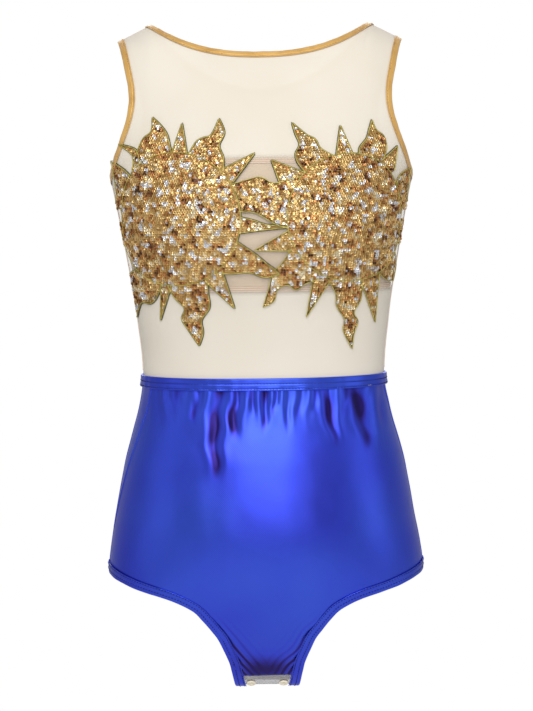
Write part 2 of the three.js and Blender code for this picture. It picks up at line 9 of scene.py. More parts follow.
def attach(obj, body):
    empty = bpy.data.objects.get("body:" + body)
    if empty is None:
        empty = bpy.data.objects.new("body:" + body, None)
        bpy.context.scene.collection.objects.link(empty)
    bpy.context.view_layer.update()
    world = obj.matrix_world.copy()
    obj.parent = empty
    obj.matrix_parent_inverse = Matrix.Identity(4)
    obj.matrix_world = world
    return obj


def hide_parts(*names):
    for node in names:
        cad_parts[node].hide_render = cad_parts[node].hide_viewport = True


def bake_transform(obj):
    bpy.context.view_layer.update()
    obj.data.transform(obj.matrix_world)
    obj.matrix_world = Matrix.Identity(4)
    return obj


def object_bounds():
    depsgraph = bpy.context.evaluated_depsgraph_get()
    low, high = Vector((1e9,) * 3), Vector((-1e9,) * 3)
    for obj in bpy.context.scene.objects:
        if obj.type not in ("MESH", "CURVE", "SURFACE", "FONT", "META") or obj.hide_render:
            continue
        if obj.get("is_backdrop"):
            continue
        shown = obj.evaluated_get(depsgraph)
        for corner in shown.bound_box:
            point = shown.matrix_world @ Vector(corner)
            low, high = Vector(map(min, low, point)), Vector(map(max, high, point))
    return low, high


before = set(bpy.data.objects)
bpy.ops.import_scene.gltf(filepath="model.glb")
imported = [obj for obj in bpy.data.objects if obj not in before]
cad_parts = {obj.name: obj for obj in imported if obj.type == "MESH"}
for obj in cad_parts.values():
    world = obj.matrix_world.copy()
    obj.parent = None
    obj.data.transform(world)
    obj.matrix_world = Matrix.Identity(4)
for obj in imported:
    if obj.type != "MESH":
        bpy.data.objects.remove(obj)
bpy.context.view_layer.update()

mm = 0.001
quarter = math.pi / 2
print("frame loaded:", len(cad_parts), "nodes")

# The body that fills the garment, in millimetres above the crotch, as the frame has it
body = {
    "waist": 323,
    "shoulder": 690,
    "neckHalf": 112,
    "neckFront": 657.4,
    "neckBack": 628,
    "slope": 0.52,
    "slopeFrom": 548,
    "armpit": 532,
    "hipEdge": 124,
    "roundness": 2.2,
    "swell": 9,
    "bust": (72, 478, 42),
    # height, half width, depth in front, depth behind
    "stations": [
        (0, 118, 0, 0), (2, 122, 9, 12), (10, 128, 18, 30), (26, 138, 31, 52), (52, 150, 50, 78),
        (90, 160, 74, 102), (130, 163.6, 92, 114), (180, 156, 102, 112), (240, 144.4, 97, 92),
        (318, 125.8, 84, 74), (390, 130.2, 94, 80), (450, 139.6, 113, 90), (490, 146.8, 119, 96),
        (536, 156, 110, 98), (590, 168, 88, 92), (640, 176, 63, 76), (672, 180, 40, 54),
        (687, 182, 14, 30), (690, 182, -8, 8),
    ],
}
# Edges of the openings: degrees round from the middle, then height or girth
edges = {
    "armFront": [(53.8, 672), (50.5, 640), (50, 615), (52.5, 595), (58, 576), (66, 558), (76, 542)],
    "armBack": [(53.8, 672), (49, 640), (47, 612), (49, 588), (56, 566), (66, 550), (77, 538)],
    "legFront": [(16, 0), (16, 18), (16, 35), (16.5, 52), (19, 80), (21.5, 94), (24.5, 108),
                 (28.5, 121), (37.5, 133), (52, 142), (70, 151)],
    "legBack": [(16, 0), (16.5, -25), (18, -52), (20.5, -74), (24.5, -95), (29.5, -111), (38.5, -129),
                (53, -144), (72, -163)],
}


def catmull(p0, p1, p2, p3, s):
    v0 = (p2 - p0) / 2
    v1 = (p3 - p1) / 2
    return (2 * p1 - 2 * p2 + v0 + v1) * s**3 + (3 * p2 - 3 * p1 - 2 * v0 - v1) * s**2 + v0 * s + p1


spanSteps = 40  # samples between two stations


def lengthsAlong(points):  # from the first point to each of them
    return np.concatenate([[0], np.cumsum(np.linalg.norm(np.diff(points, axis=0), axis=1))])


def makeTrunk():  # one closed line: down the front, through the crotch, up the back
    rows = body["stations"]
    points = [(half, -front, height) for height, half, front, back in reversed(rows)]
    points += [(half, back, height) for height, half, front, back in rows[1:-1]]
    points = np.array(points, float)
    count = len(points)
    samples = []
    for i in range(count):
        around = [points[(i + k) % count] for k in (-1, 0, 1, 2)]
        samples += [catmull(*around, k / spanSteps) for k in range(spanSteps)]
    samples = np.array(samples + [points[0]])
    lengths = lengthsAlong(samples[:, 1:])
    girths = lengths[(len(rows) - 1) * spanSteps] - lengths
    loop = lengths[-1]
    girths = np.concatenate([girths + loop, girths[1:], girths[1:] - loop])[::-1]
    samples = np.concatenate([samples, samples[1:], samples[1:]])[::-1]
    return girths, samples, loop


trunkGirths, trunkPoints, trunkLoop = makeTrunk()
crotchIndex = int(np.argmin(np.abs(trunkGirths)))
frontTop = trunkGirths[crotchIndex + (len(body["stations"]) - 1) * spanSteps]
backTop = frontTop - trunkLoop


def trunkAt(girth):
    return [np.interp(girth, trunkGirths, trunkPoints[:, k]) for k in range(3)]


def smooth(value, low, high):
    s = np.clip((value - low) / (high - low), 0, 1)
    return s * s * (3 - 2 * s)


def skin(girth, turn):
    half, depth, height = trunkAt(girth)
    x = half * np.sin(turn)
    fullness = np.clip(1 - np.abs(np.sin(turn)) ** body["roundness"], 0, None) ** (1 / body["roundness"])
    beyond = np.abs(x) - body["neckHalf"]
    slope = body["slope"] * smooth(height, body["slopeFrom"], body["shoulder"])
    drop = slope * (beyond + np.sqrt(beyond**2 + 16)) / 2
    across, up, spread = body["bust"]
    away = ((np.abs(x) - across) ** 2 + (height - up) ** 2) / spread**2
    swell = np.where(depth < 0, body["swell"] * np.exp(-away / 2), 0)
    return np.stack([x, (depth - swell) * fullness, height - drop - body["waist"]], -1)


def skinNormal(girth, turn):
    right = skin(girth, np.minimum(turn + 0.02, quarter))
    left = skin(girth, np.maximum(turn - 0.02, -quarter))
    rise = skin(girth + 0.6, turn) - skin(girth - 0.6, turn)
    normal = np.cross(right - left, rise)
    return normal / np.linalg.norm(normal, axis=-1, keepdims=True)


def onSkin(girth, turn, lift=0.0):  # metres, in the frame
    girth, turn, lift = np.broadcast_arrays(girth, turn, lift)
    return (skin(girth, turn) + skinNormal(girth, turn) * lift[..., None]) * mm


def bisect(test, low, high, steps=34):  # test says where to go higher
    for _ in range(steps):
        middle = (low + high) / 2
        up = test(middle)
        low = np.where(up, middle, low)
        high = np.where(up, high, middle)
    return (low + high) / 2


def girthAt(height, turn, side):
    turn = np.asarray(turn, float)
    low = np.zeros(turn.shape)
    high = np.full(turn.shape, frontTop if side > 0 else backTop)
    return bisect(lambda g: skin(g, turn)[..., 2] < height - body["waist"], low, high)


def frontAt(x, height):  # the front's girth and turn at a place seen from the front
    trunkHeight = np.array(height, float)
    for _ in range(8):
        slope = body["slope"] * smooth(trunkHeight, body["slopeFrom"], body["shoulder"])
        trunkHeight = height + slope * np.clip(np.abs(x) - body["neckHalf"], 0, None)
    girth = girthAt(trunkHeight, np.zeros(np.shape(x)), 1)
    return girth, np.arcsin(np.clip(x / trunkAt(girth)[0], -1, 1))


def splineAt(points, part):  # an open curve through the points
    points = np.asarray(points, float)
    place = np.asarray(part, float) * (len(points) - 1)
    index = np.clip(np.floor(place).astype(int), 0, len(points) - 2)
    s = (place - index)[..., None]
    last = len(points) - 1
    around = [points[np.clip(index + k, 0, last)] for k in (-1, 0, 1, 2)]
    return catmull(*around, s)


def edgeCurve(degreesAndPlace, side, sideHeight, isHeight):
    points = []
    for degrees, place in degreesAndPlace:
        turn = math.radians(degrees)
        points.append((turn, abs(float(girthAt(place, turn, side))) if isHeight else abs(place)))
    if isHeight:
        points[0] = (points[0][0], abs(frontTop if side > 0 else backTop))
    points.append((quarter, abs(float(girthAt(sideHeight, quarter, side)))))
    return points[::-1]


halves = {
    "front": {"side": 1, "top": frontTop, "neck": body["neckFront"], "power": 2.4},
    "back": {"side": -1, "top": backTop, "neck": body["neckBack"], "power": 2.1},
}
for name, half in halves.items():
    half["arm"] = edgeCurve(edges["arm" + name.title()], half["side"], body["armpit"], True)
    half["leg"] = edgeCurve(edges["leg" + name.title()], half["side"], body["hipEdge"], False)


def edgePoint(half, curve, part, distance, hand):  # moved square to the edge, into the cloth
    at = splineAt(curve, part)
    ahead = splineAt(curve, np.minimum(part + 0.004, 1))
    behind = splineAt(curve, np.maximum(part - 0.004, 0))
    girth = at[..., 1] * half["side"]
    metric = np.linalg.norm(skin(girth, at[..., 0] - 0.05) - skin(girth, at[..., 0]), axis=-1) / 0.05
    run = (ahead[..., 0] - behind[..., 0]) * metric
    climb = ahead[..., 1] - behind[..., 1]
    length = np.hypot(run, climb)
    turn = at[..., 0] - hand * climb / length * distance / metric
    turn = np.where(np.asarray(part) <= 0, quarter, np.minimum(turn, quarter))
    return turn, (at[..., 1] + hand * run / length * distance) * half["side"]


def legPartAt(half, girth):
    return float(bisect(lambda p: splineAt(half["leg"], p)[..., 1] > abs(girth), np.array(0.0), np.array(1.0)))


def neckGirth(half, turn, margin=0.0):
    halfWidth = body["neckHalf"] + margin
    bottom = half["neck"] - margin

    def below(girth):
        point = skin(girth, turn)
        share = np.minimum(1, np.abs(point[..., 0]) / halfWidth)
        return point[..., 2] + body["waist"] < bottom + (body["shoulder"] - bottom) * share ** half["power"]

    reached = bisect(below, np.zeros(np.shape(turn)), np.full(np.shape(turn), half["top"]))
    outside = np.abs(skin(half["top"], turn)[..., 0]) > halfWidth
    return np.where(outside, half["top"], reached)


print("form ready, shoulder girths", round(frontTop), round(backTop))

# Small helpers for every piece


def pick(piece):
    if bpy.context.object and bpy.context.object.mode != "OBJECT":
        bpy.ops.object.mode_set(mode="OBJECT")
    bpy.ops.object.select_all(action="DESELECT")
    piece.select_set(True)
    bpy.context.view_layer.objects.active = piece


def applyModifiers(piece):
    pick(piece)
    for modifier in list(piece.modifiers):
        bpy.ops.object.modifier_apply(modifier=modifier.name)


def thicken(piece, wall):  # a cloth's two faces, half the wall each way
    thick = piece.modifiers.new("cloth", "SOLIDIFY")
    thick.thickness = wall * mm
    thick.offset = 0
    applyModifiers(piece)


def inEditMode(piece, operation, **settings):
    pick(piece)
    bpy.ops.object.mode_set(mode="EDIT")
    bpy.ops.mesh.select_all(action="SELECT")
    operation(**settings)
    bpy.ops.object.mode_set(mode="OBJECT")


def newPiece(name, data):
    piece = bpy.data.objects.new(name, data)
    bpy.context.collection.objects.link(piece)
    return piece


def meshPiece(name, points, faces, material, smoothShade=True):
    mesh = bpy.data.meshes.new(name)
    mesh.from_pydata([tuple(p) for p in points], [], faces)
    piece = newPiece(name, mesh)
    mesh.materials.append(material)
    if smoothShade:
        mesh.shade_smooth()
    return piece


def finishNormals(piece):
    inEditMode(piece, bpy.ops.mesh.normals_make_consistent, inside=False)


def finishPiece(piece, rides, nodes):
    if isinstance(rides, str):
        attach(piece, rides)
    else:
        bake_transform(piece)
    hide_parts(*nodes)


def gridPiece(name, cols, rows):
    bpy.ops.mesh.primitive_grid_add(x_subdivisions=cols, y_subdivisions=rows, size=2)
    piece = bpy.context.object
    piece.name = piece.data.name = name
    return piece


def vertexPlaces(mesh):
    co = np.zeros(len(mesh.vertices) * 3)
    mesh.vertices.foreach_get("co", co)
    return co.reshape(-1, 3)


def writeUv(mesh, uv):  # uv holds a pair for every vertex
    corners = np.zeros(len(mesh.loops), int)
    mesh.loops.foreach_get("vertex_index", corners)
    mesh.uv_layers[0].data.foreach_set("uv", uv[corners].ravel())


def writeAmount(mesh, name, amounts):  # one number for every vertex, read by a material
    layer = mesh.attributes.new(name, "FLOAT", "POINT")
    layer.data.foreach_set("value", amounts)


def areaOf(piece):
    return sum(face.area for face in piece.data.polygons)


def declareCloth(piece, flat, area):
    width, length = (round(side, 4) for side in flat)
    area = min(area, width * length)
    size = (round(width / mm), "x", round(length / mm))
    print("cloth", piece.name, "flat", *size, "mm, area", round(area, 4))


# A cloth sheet: a flat grid laid on the body, place(v, w) giving girth and turn
def clothSheet(name, cols, rows, place, lift, wall, material, rides, nodes):
    piece = gridPiece(name, cols, rows)
    mesh = piece.data
    flat = vertexPlaces(mesh)
    girth, turn = place((flat[:, 1] + 1) / 2, flat[:, 0])
    points = onSkin(girth, turn, lift(girth, turn))
    mesh.vertices.foreach_set("co", points.ravel())
    writeUv(mesh, np.stack([turn * trunkAt(girth)[0], girth], -1) * mm)
    mesh.materials.append(material)
    mesh.shade_smooth()
    mesh.update()
    grid = points.reshape(rows + 1, cols + 1, 3)
    width = max(lengthsAlong(row)[-1] for row in grid)
    length = max(lengthsAlong(grid[:, k])[-1] for k in (0, cols // 2))
    area = areaOf(piece)
    thicken(piece, wall)
    finishPiece(piece, rides, nodes)
    declareCloth(piece, (width, length), area)
    return piece


def softRing(rows):  # rounds off the corners of a closed run of points
    for _ in range(2):
        rows = (np.roll(rows, 1, axis=0) + 2 * rows + np.roll(rows, -1, axis=0)) / 4
    return rows


def alongEdge(path, closed, beside):  # places, the skin's normals and the way into the cloth
    places, normals = skin(*path), skinNormal(*path)
    if closed:
        places, normals = softRing(places), softRing(normals)
        tangents = np.roll(places, -1, axis=0) - np.roll(places, 1, axis=0)
    else:
        tangents = np.gradient(places, axis=0)
    across = np.cross(tangents, normals)
    across /= np.linalg.norm(across, axis=1, keepdims=True)
    origin = places.mean(axis=0) if beside is None else np.array(beside)
    if np.sign(np.sum(across * (places - origin), axis=1)).sum() < 0:
        across = -across
    if closed:
        places, normals, across = (np.concatenate([a, a[:1]]) for a in (places, normals, across))
    return places, normals, across


# A strip of cloth folded along an edge; its line is points of (into the cloth, lift)
def edgeSheet(name, path, line, wall, material, slot, rides, nodes, closed=False, beside=None, wave=None,
              declared=True):
    places, normals, across = alongEdge(path, closed, beside)
    along = lengthsAlong(places)
    line = np.array(line, float)
    lineLength = lengthsAlong(line)
    count, size = len(places), len(line)
    points = np.zeros((size, count, 3))
    for k, (into, lift) in enumerate(line):
        extra = wave(along, into, lift) if wave else np.zeros(count)
        points[k] = places + across * into + normals * (lift + extra)[:, None]
    piece = gridPiece(name, count - 1, size - 1)
    mesh = piece.data
    mesh.vertices.foreach_set("co", (points * mm).ravel())
    alongs, lengths = np.meshgrid(along, lineLength)
    writeUv(mesh, np.stack([alongs.ravel(), lengths.ravel()], -1) * mm)
    mesh.materials.append(material)
    mesh.update()
    if closed:
        inEditMode(piece, bpy.ops.mesh.remove_doubles, threshold=0.00002)
    piece.data.shade_smooth()
    area = areaOf(piece)
    thicken(piece, wall)
    finishNormals(piece)
    finishPiece(piece, rides, nodes)
    if declared:
        declareCloth(piece, (lineLength[-1] * mm, along[-1] * mm), area)
    return piece


def foldLine(width, top, bottom, dips=(), dip=0.3, steps=22):  # a strip folded round an edge
    radius = (top - bottom) / 2
    line = []
    for into in np.linspace(width, radius, steps):
        line.append((into, top - dip * sum(math.exp(-((into - row) / 0.6) ** 2) for row in dips)))
    for angle in (60, 30, 0, -30, -60):
        a = math.radians(angle)
        line.append((radius - radius * math.cos(a), bottom + radius + radius * math.sin(a)))
    line += [(into, bottom) for into in np.linspace(radius, width - 0.5, 6)]
    return line


stitching = {"length": 2.2, "pitch": 3.2, "thread": 0.45, "straight": 0.93}


# Stitches: short threads in a row, along a path, at a distance into the cloth
def stitchRow(name, path, intos, lift, material, slot, rides, nodes, closed=False, beside=None, wave=None):
    places, normals, across = alongEdge(path, closed, beside)
    stitch, pitch, thread = stitching["length"], stitching["pitch"], stitching["thread"]
    points, faces = [], []
    for into in intos:
        row = places + across * into
        along = lengthsAlong(row)
        extra = wave(along, into, lift) if wave else np.zeros(len(row))
        row = row + normals * (lift + extra)[:, None]
        for start in np.arange(pitch / 2, along[-1] - stitch, pitch):
            ends = [np.array([np.interp(at, along, row[:, k]) for k in range(3)])
                    for at in (start, start + stitch / 2, start + stitch)]
            up = np.array([np.interp(start, along, normals[:, k]) for k in range(3)])
            way = ends[2] - ends[0]
            if np.linalg.norm(way) < stitching["straight"] * stitch:  # none round a sharp corner
                continue
            side = np.cross(way, up)
            side *= thread / np.linalg.norm(side)
            up = up * thread / np.linalg.norm(up)
            first = len(points)
            points += [ends[0] - up, ends[1] + side, ends[1] + up, ends[1] - side, ends[1] - up * 0.6,
                       ends[2] - up]
            for a, b in ((1, 2), (2, 3), (3, 4), (4, 1)):
                faces += [(first, first + a, first + b), (first + 5, first + b, first + a)]
    piece = meshPiece(name, np.array(points) * mm, faces, material)
    finishNormals(piece)
    finishPiece(piece, rides, nodes)


# A turned piece from a profile of (radius, lift), standing on the skin
def turnedPiece(name, profile, girth, turn, material, rides, nodes):
    mesh = bpy.data.meshes.new(name)
    links = [(i, i + 1) for i in range(len(profile) - 1)]
    mesh.from_pydata([(r * mm, 0, h * mm) for r, h in profile], links, [])
    piece = newPiece(name, mesh)
    screw = piece.modifiers.new("turn", "SCREW")
    screw.steps = screw.render_steps = 36
    screw.use_merge_vertices = True
    screw.merge_threshold = 0.00001
    applyModifiers(piece)
    up = Vector(skinNormal(np.array([girth]), np.array([turn]))[0])
    at = Vector(onSkin(np.array([girth]), np.array([turn]))[0])
    mesh = piece.data
    mesh.transform(Matrix.Translation(at) @ up.to_track_quat("Z", "Y").to_matrix().to_4x4())
    mesh.materials.clear()
    mesh.materials.append(material)
    finishNormals(piece)
    pick(piece)
    bpy.ops.object.shade_smooth_by_angle(angle=math.radians(40))
    finishPiece(piece, rides, nodes)


# Materials


def tone(red, green, blue):
    return tuple((((c / 255) + 0.055) / 1.055) ** 2.4 for c in (red, green, blue)) + (1.0,)


def newMaterial(name, values):
    material = bpy.data.materials.new(name)
    material.use_nodes = True
    shader = material.node_tree.nodes["Principled BSDF"]
    for socket, value in values.items():
        shader.inputs[socket].default_value = value
    return material, material.node_tree, shader


def newGroup(name, output, **inputs):
    group = bpy.data.node_groups.new(name, "ShaderNodeTree")
    for label, value in inputs.items():
        socket = group.interface.new_socket(label, in_out="INPUT", socket_type="NodeSocketFloat")
        socket.default_value = value
    group.interface.new_socket(output, in_out="OUTPUT", socket_type="NodeSocketFloat")
    return group, group.nodes.new("NodeGroupInput"), group.nodes.new("NodeGroupOutput")


def mathNode(tree, operation, *values):
    node = tree.nodes.new("ShaderNodeMath")
    node.operation = operation
    for socket, value in zip(node.inputs, values):
        if isinstance(value, (int, float)):
            socket.default_value = value
        else:
            tree.links.new(value, socket)
    return node.outputs[0]


def uvWaves(group, ins, axes):  # a sine along each of the cloth's own axes
    uv = group.nodes.new("ShaderNodeUVMap")
    split = group.nodes.new("ShaderNodeSeparateXYZ")
    group.links.new(uv.outputs[0], split.inputs[0])
    turns = mathNode(group, "DIVIDE", 2 * math.pi, ins.outputs["Pitch"])
    return [mathNode(group, "SINE", mathNode(group, "MULTIPLY", split.outputs[k], turns)) for k in axes]


def makeWeave():  # threads over and under
    group, ins, outs = newGroup("weave", "Height", Pitch=0.0012)
    group.links.new(mathNode(group, "MULTIPLY", *uvWaves(group, ins, (0, 1))), outs.inputs["Height"])
    return group


def makeRib():  # fine ribs along a strip, for elastic
    group, ins, outs = newGroup("rib", "Height", Pitch=0.0015)
    wave = uvWaves(group, ins, (1,))[0]
    group.links.new(mathNode(group, "MULTIPLY_ADD", wave, 0.5, 0.5), outs.inputs["Height"])
    return group


def makeDrift():  # slow change over a cloth, from 0 to 1
    group, ins, outs = newGroup("drift", "Value", Scale=18.0, Detail=3.0)
    coords = group.nodes.new("ShaderNodeTexCoord")
    noiseNode = group.nodes.new("ShaderNodeTexNoise")
    group.links.new(coords.outputs["Object"], noiseNode.inputs["Vector"])
    group.links.new(ins.outputs["Scale"], noiseNode.inputs["Scale"])
    group.links.new(ins.outputs["Detail"], noiseNode.inputs["Detail"])
    group.links.new(noiseNode.outputs[0], outs.inputs["Value"])
    return group


weave, rib, drift = makeWeave(), makeRib(), makeDrift()


def addGroup(tree, group, **values):
    node = tree.nodes.new("ShaderNodeGroup")
    node.node_tree = group
    for label, value in values.items():
        node.inputs[label].default_value = value
    return node.outputs[0]


def attribute(tree, name):
    node = tree.nodes.new("ShaderNodeAttribute")
    node.attribute_name = name
    return node.outputs


def addBump(tree, shader, height, strength, distance):
    bump = tree.nodes.new("ShaderNodeBump")
    bump.inputs["Strength"].default_value = strength
    bump.inputs["Distance"].default_value = distance
    tree.links.new(height, bump.inputs["Height"])
    tree.links.new(bump.outputs[0], shader.inputs["Normal"])


def addShades(tree, shader, value, stops):  # a colour ramp from a value to the base colour
    ramp = tree.nodes.new("ShaderNodeValToRGB")
    for k, (place, colour) in enumerate(stops):
        stop = ramp.color_ramp.elements[k] if k < 2 else ramp.color_ramp.elements.new(place)
        stop.position = place
        stop.color = colour
    tree.links.new(value, ramp.inputs[0])
    tree.links.new(ramp.outputs[0], shader.inputs["Base Color"])


def makeSheer():
    material, tree, shader = newMaterial("sheerNet", {
        "Roughness": 0.75, "Sheen Weight": 0.15, "Specular IOR Level": 0.25,
    })
    change = addGroup(tree, drift, Scale=9.0, Detail=2.0)
    addShades(tree, shader, change, [(0.3, tone(235, 227, 212)), (0.7, tone(240, 233, 220))])
    tree.links.new(attribute(tree, "cover")["Fac"], shader.inputs["Alpha"])
    addBump(tree, shader, addGroup(tree, weave, Pitch=0.0012), 0.25, 0.0002)
    return material


def makeCloth(name, low, high, roughness, pitch=0.0014, bump=0.5, **values):
    material, tree, shader = newMaterial(name, {"Roughness": roughness, "Specular IOR Level": 0.3, **values})
    addShades(tree, shader, addGroup(tree, drift, Scale=30.0), [(0.35, tone(*low)), (0.65, tone(*high))])
    addBump(tree, shader, addGroup(tree, weave, Pitch=pitch), bump, 0.0003)
    return material


def makeElastic(name, low, high):
    material, tree, shader = newMaterial(name, {"Roughness": 0.7, "Specular IOR Level": 0.3})
    height = addGroup(tree, rib, Pitch=0.0022)
    # the colour follows the rib height, darker in the grooves: painted shade
    addShades(tree, shader, height, [(0.15, tone(*low)), (0.85, tone(*high))])
    addBump(tree, shader, height, 0.6, 0.0006)
    return material


def makeSatin():
    material, tree, shader = newMaterial("goldSatin", {
        "Roughness": 0.34, "Metallic": 0.25, "Specular IOR Level": 0.6, "Sheen Weight": 0.2,
    })
    change = addGroup(tree, drift, Scale=40.0)
    addShades(tree, shader, change, [(0.3, tone(202, 154, 76)), (0.7, tone(220, 176, 100))])
    addBump(tree, shader, addGroup(tree, weave, Pitch=0.0016), 0.35, 0.0003)
    return material


def makeFoil():
    material, tree, shader = newMaterial("blueFoil", {"Metallic": 0.85, "Roughness": 0.3})
    change = addGroup(tree, drift, Scale=8.0, Detail=1.5)
    # the crease amount pulls the colour down to the dark violet stops: painted shade in the folds
    shadedDrift = mathNode(tree, "MULTIPLY_ADD", attribute(tree, "paintedCreaseShade")["Fac"], -0.9, change)
    addShades(tree, shader, shadedDrift, [
        (0.0, tone(34, 22, 100)), (0.16, tone(48, 46, 160)), (0.36, tone(55, 71, 213)), (0.66, tone(61, 91, 223)),
    ])
    rough = mathNode(tree, "MULTIPLY_ADD", addGroup(tree, drift, Scale=60.0), 0.12, 0.25)
    tree.links.new(rough, shader.inputs["Roughness"])
    addBump(tree, shader, addGroup(tree, weave, Pitch=0.0022), 0.25, 0.0002)
    return material


def makeSequin():
    material, tree, shader = newMaterial("sequin", {"Metallic": 0.78, "Roughness": 0.3})
    tree.links.new(attribute(tree, "tint")["Color"], shader.inputs["Base Color"])
    return material


def makeThread(name, low, high, roughness=0.6, metallic=0.0):
    material, tree, shader = newMaterial(name, {"Roughness": roughness, "Metallic": metallic})
    addShades(tree, shader, addGroup(tree, drift, Scale=220.0), [(0.35, tone(*low)), (0.65, tone(*high))])
    return material


looks = {
    "sheer": makeSheer(),
    "band": makeCloth("bandLining", (214, 192, 166), (222, 200, 176), 0.8),
    "elastic": makeElastic("bandElastic", (200, 168, 142), (232, 208, 186)),
    "satin": makeSatin(),
    "foil": makeFoil(),
    "sequin": makeSequin(),
    "net": makeCloth("sunNet", (150, 116, 62), (182, 146, 84), 0.7),
    "cord": makeThread("sunCord", (150, 140, 62), (205, 190, 104), 0.5, 0.3),
    # a dark thread as painted shade along the outer side of the cords
    "rimShadeCord": makeThread("sunRimShade", (28, 34, 14), (58, 62, 26), 0.6),
    "cotton": makeCloth("cotton", (233, 228, 218), (240, 236, 228), 0.9),
    "whiteElastic": makeElastic("edgeElastic", (226, 224, 220), (242, 240, 236)),
    "goldThread": makeThread("goldThread", (170, 122, 52), (226, 190, 120), 0.45, 0.2),
    "blueThread": makeThread("blueThread", (12, 12, 50), (26, 28, 92)),
    "seamThread": makeThread("seamThread", (214, 196, 178), (226, 210, 194)),
    "tape": makeCloth("snapTape", (190, 188, 192), (212, 211, 214), 0.5, Alpha=0.55),
    "resin": makeThread("snapResin", (236, 226, 202), (242, 233, 212), 0.3),
}
print("materials ready:", len(looks))

# Sheer top


# A panel's side edge at each v: up the side seam first, then along the opening
def edgeRow(half, curve, v, seamPart, distance, hand, lastPart, waist):
    part = np.clip((v - seamPart) / (1 - seamPart), 0, 1) * lastPart
    turn, girth = edgePoint(half, curve, part, distance, hand)
    start = float(edgePoint(half, curve, np.zeros(1), np.full(1, np.max(distance)), hand)[1][0])
    onSeam = v <= seamPart
    climb = np.clip(v / seamPart, 0, 1)
    girth = np.where(onSeam, waist + (start - waist) * climb, girth)
    return np.where(onSeam, quarter, turn), girth


def topPlace(half, margin):
    waist = float(girthAt(body["waist"], 0.0, half["side"]))
    topTurn = float(edgePoint(half, half["arm"], np.array([1.0]), margin, 1)[0][0])

    def place(v, w):
        turnEdge, girthEdge = edgeRow(half, half["arm"], v, top["seamPart"], margin, 1, 1.0, waist)
        girthEdge = np.where(v >= 1, half["top"], girthEdge)
        reach = neckGirth(half, w * topTurn, margin)
        share = (reach - waist) / (half["top"] - waist)
        return waist + (girthEdge - waist) * share, w * turnEdge

    return place


def level(lift):
    return lambda girth, turn: np.full(np.shape(girth), float(lift))


top = {
    "cols": 120, "rows": 170, "wall": 0.35, "margin": 1.8, "seamPart": 0.42, "dense": 0.82, "overBand": 0.14,
    "fade": 3.5,
}
band = {"low": 415.5, "high": 551, "sideDrop": 30, "sideReach": 150, "lift": -2.6, "wall": 0.7}


def coverTop(piece):  # the net looks thinner where the band lies close under it
    x, y, z = vertexPlaces(piece.data).T / mm
    height = z + body["waist"]
    raised = height + band["sideDrop"] * np.clip(np.abs(x) / band["sideReach"], 0, 1) ** 3
    fade = top["fade"]
    over = smooth(height, band["low"] - fade, band["low"] + fade)
    over *= 1 - smooth(raised, band["high"] - fade, band["high"] + fade)
    writeAmount(piece.data, "cover", top["dense"] + (top["overBand"] - top["dense"]) * over)


for name in ("front", "back"):
    panel = clothSheet(name + "Net", top["cols"], top["rows"], topPlace(halves[name], top["margin"]), level(0),
                       top["wall"], looks["sheer"], "leotard", [name + "_mesh_panel"])
    coverTop(panel)
print("sheer top done")

# Bust band, with a folded elastic at each edge


def bandPlace(half):
    def place(v, w):
        turn = w * quarter
        height = band["low"] + (band["high"] - band["low"]) * v - band["sideDrop"] * np.abs(w) ** 3 * v
        return girthAt(height, turn, half["side"]), turn

    return place


def ringPath(height, sideDrop=0.0, steps=150):
    girths, turns = [], []
    for half in halves.values():
        w = half["side"] * (2 * np.arange(steps) / steps - 1)
        girths.append(girthAt(height - sideDrop * np.abs(w) ** 3, w * quarter, half["side"]))
        turns.append(w * quarter)
    return np.concatenate(girths), np.concatenate(turns)


for name in ("front", "back"):
    clothSheet(name + "Band", 90, 36, bandPlace(halves[name]), level(band["lift"]), band["wall"], looks["band"],
               "leotard", ["bust_band_" + name])
bandRings = {
    "top": (ringPath(band["high"], band["sideDrop"]), 1000),
    "bottom": (ringPath(band["low"]), -1000),
}
for name, (path, beyond) in bandRings.items():
    edgeSheet(name + "BandElastic", path, foldLine(6.5, band["lift"] + 1.1, band["lift"] - 1.1, dips=(4.6,)), 0.5,
              looks["elastic"], "elastic", "leotard", ["bust_band_" + name + "_elastic"], closed=True,
              beside=(0, 0, beyond))
print("bust band done")

# Gold satin bindings


def neckPath(steps=150):
    peak = math.asin(body["neckHalf"] / float(trunkAt(frontTop)[0]))
    girths, turns = [], []
    for half in halves.values():
        turn = half["side"] * (peak * (2 * np.arange(steps) / steps - 1))
        girth = neckGirth(half, turn)
        girth[0] = half["top"]
        girths.append(girth)
        turns.append(turn)
    return np.concatenate(girths), np.concatenate(turns)


def armPath(hand, steps=110):
    parts = np.arange(steps) / steps
    front = edgePoint(halves["front"], halves["front"]["arm"], parts, 0, 1)
    back = edgePoint(halves["back"], halves["back"]["arm"], 1 - parts, 0, 1)
    return np.concatenate([front[1], back[1]]), np.concatenate([front[0], back[0]]) * hand


def ripple(size, pitch, seed):
    def wave(along, into, lift):
        return np.array([size * noise.noise((a / pitch, into / 9, seed)) for a in along])

    return wave


binding = {"line": foldLine(7.2, 1.15, -1.15, dips=(5.6,)), "wall": 0.55, "rows": (5.6,), "lift": 1.3}
bindings = {
    "neck": (neckPath(), ["neck_binding"]),
    "armLeft": (armPath(1), ["armhole_binding_left"]),
    "armRight": (armPath(-1), ["armhole_binding_right"]),
}
for k, (name, (path, nodes)) in enumerate(bindings.items()):
    wave = ripple(0.5, 9, k * 7.3)
    edgeSheet(name + "Binding", path, binding["line"], binding["wall"], looks["satin"], "gold_satin", "leotard",
              nodes, closed=True, wave=wave)
    stitchRow(name + "Stitches", path, binding["rows"], binding["lift"], looks["goldThread"], "gold_satin",
              "leotard", nodes, closed=True, wave=wave)
print("bindings done")

# Foil brief: gathers under the waistband, puckers at the crotch

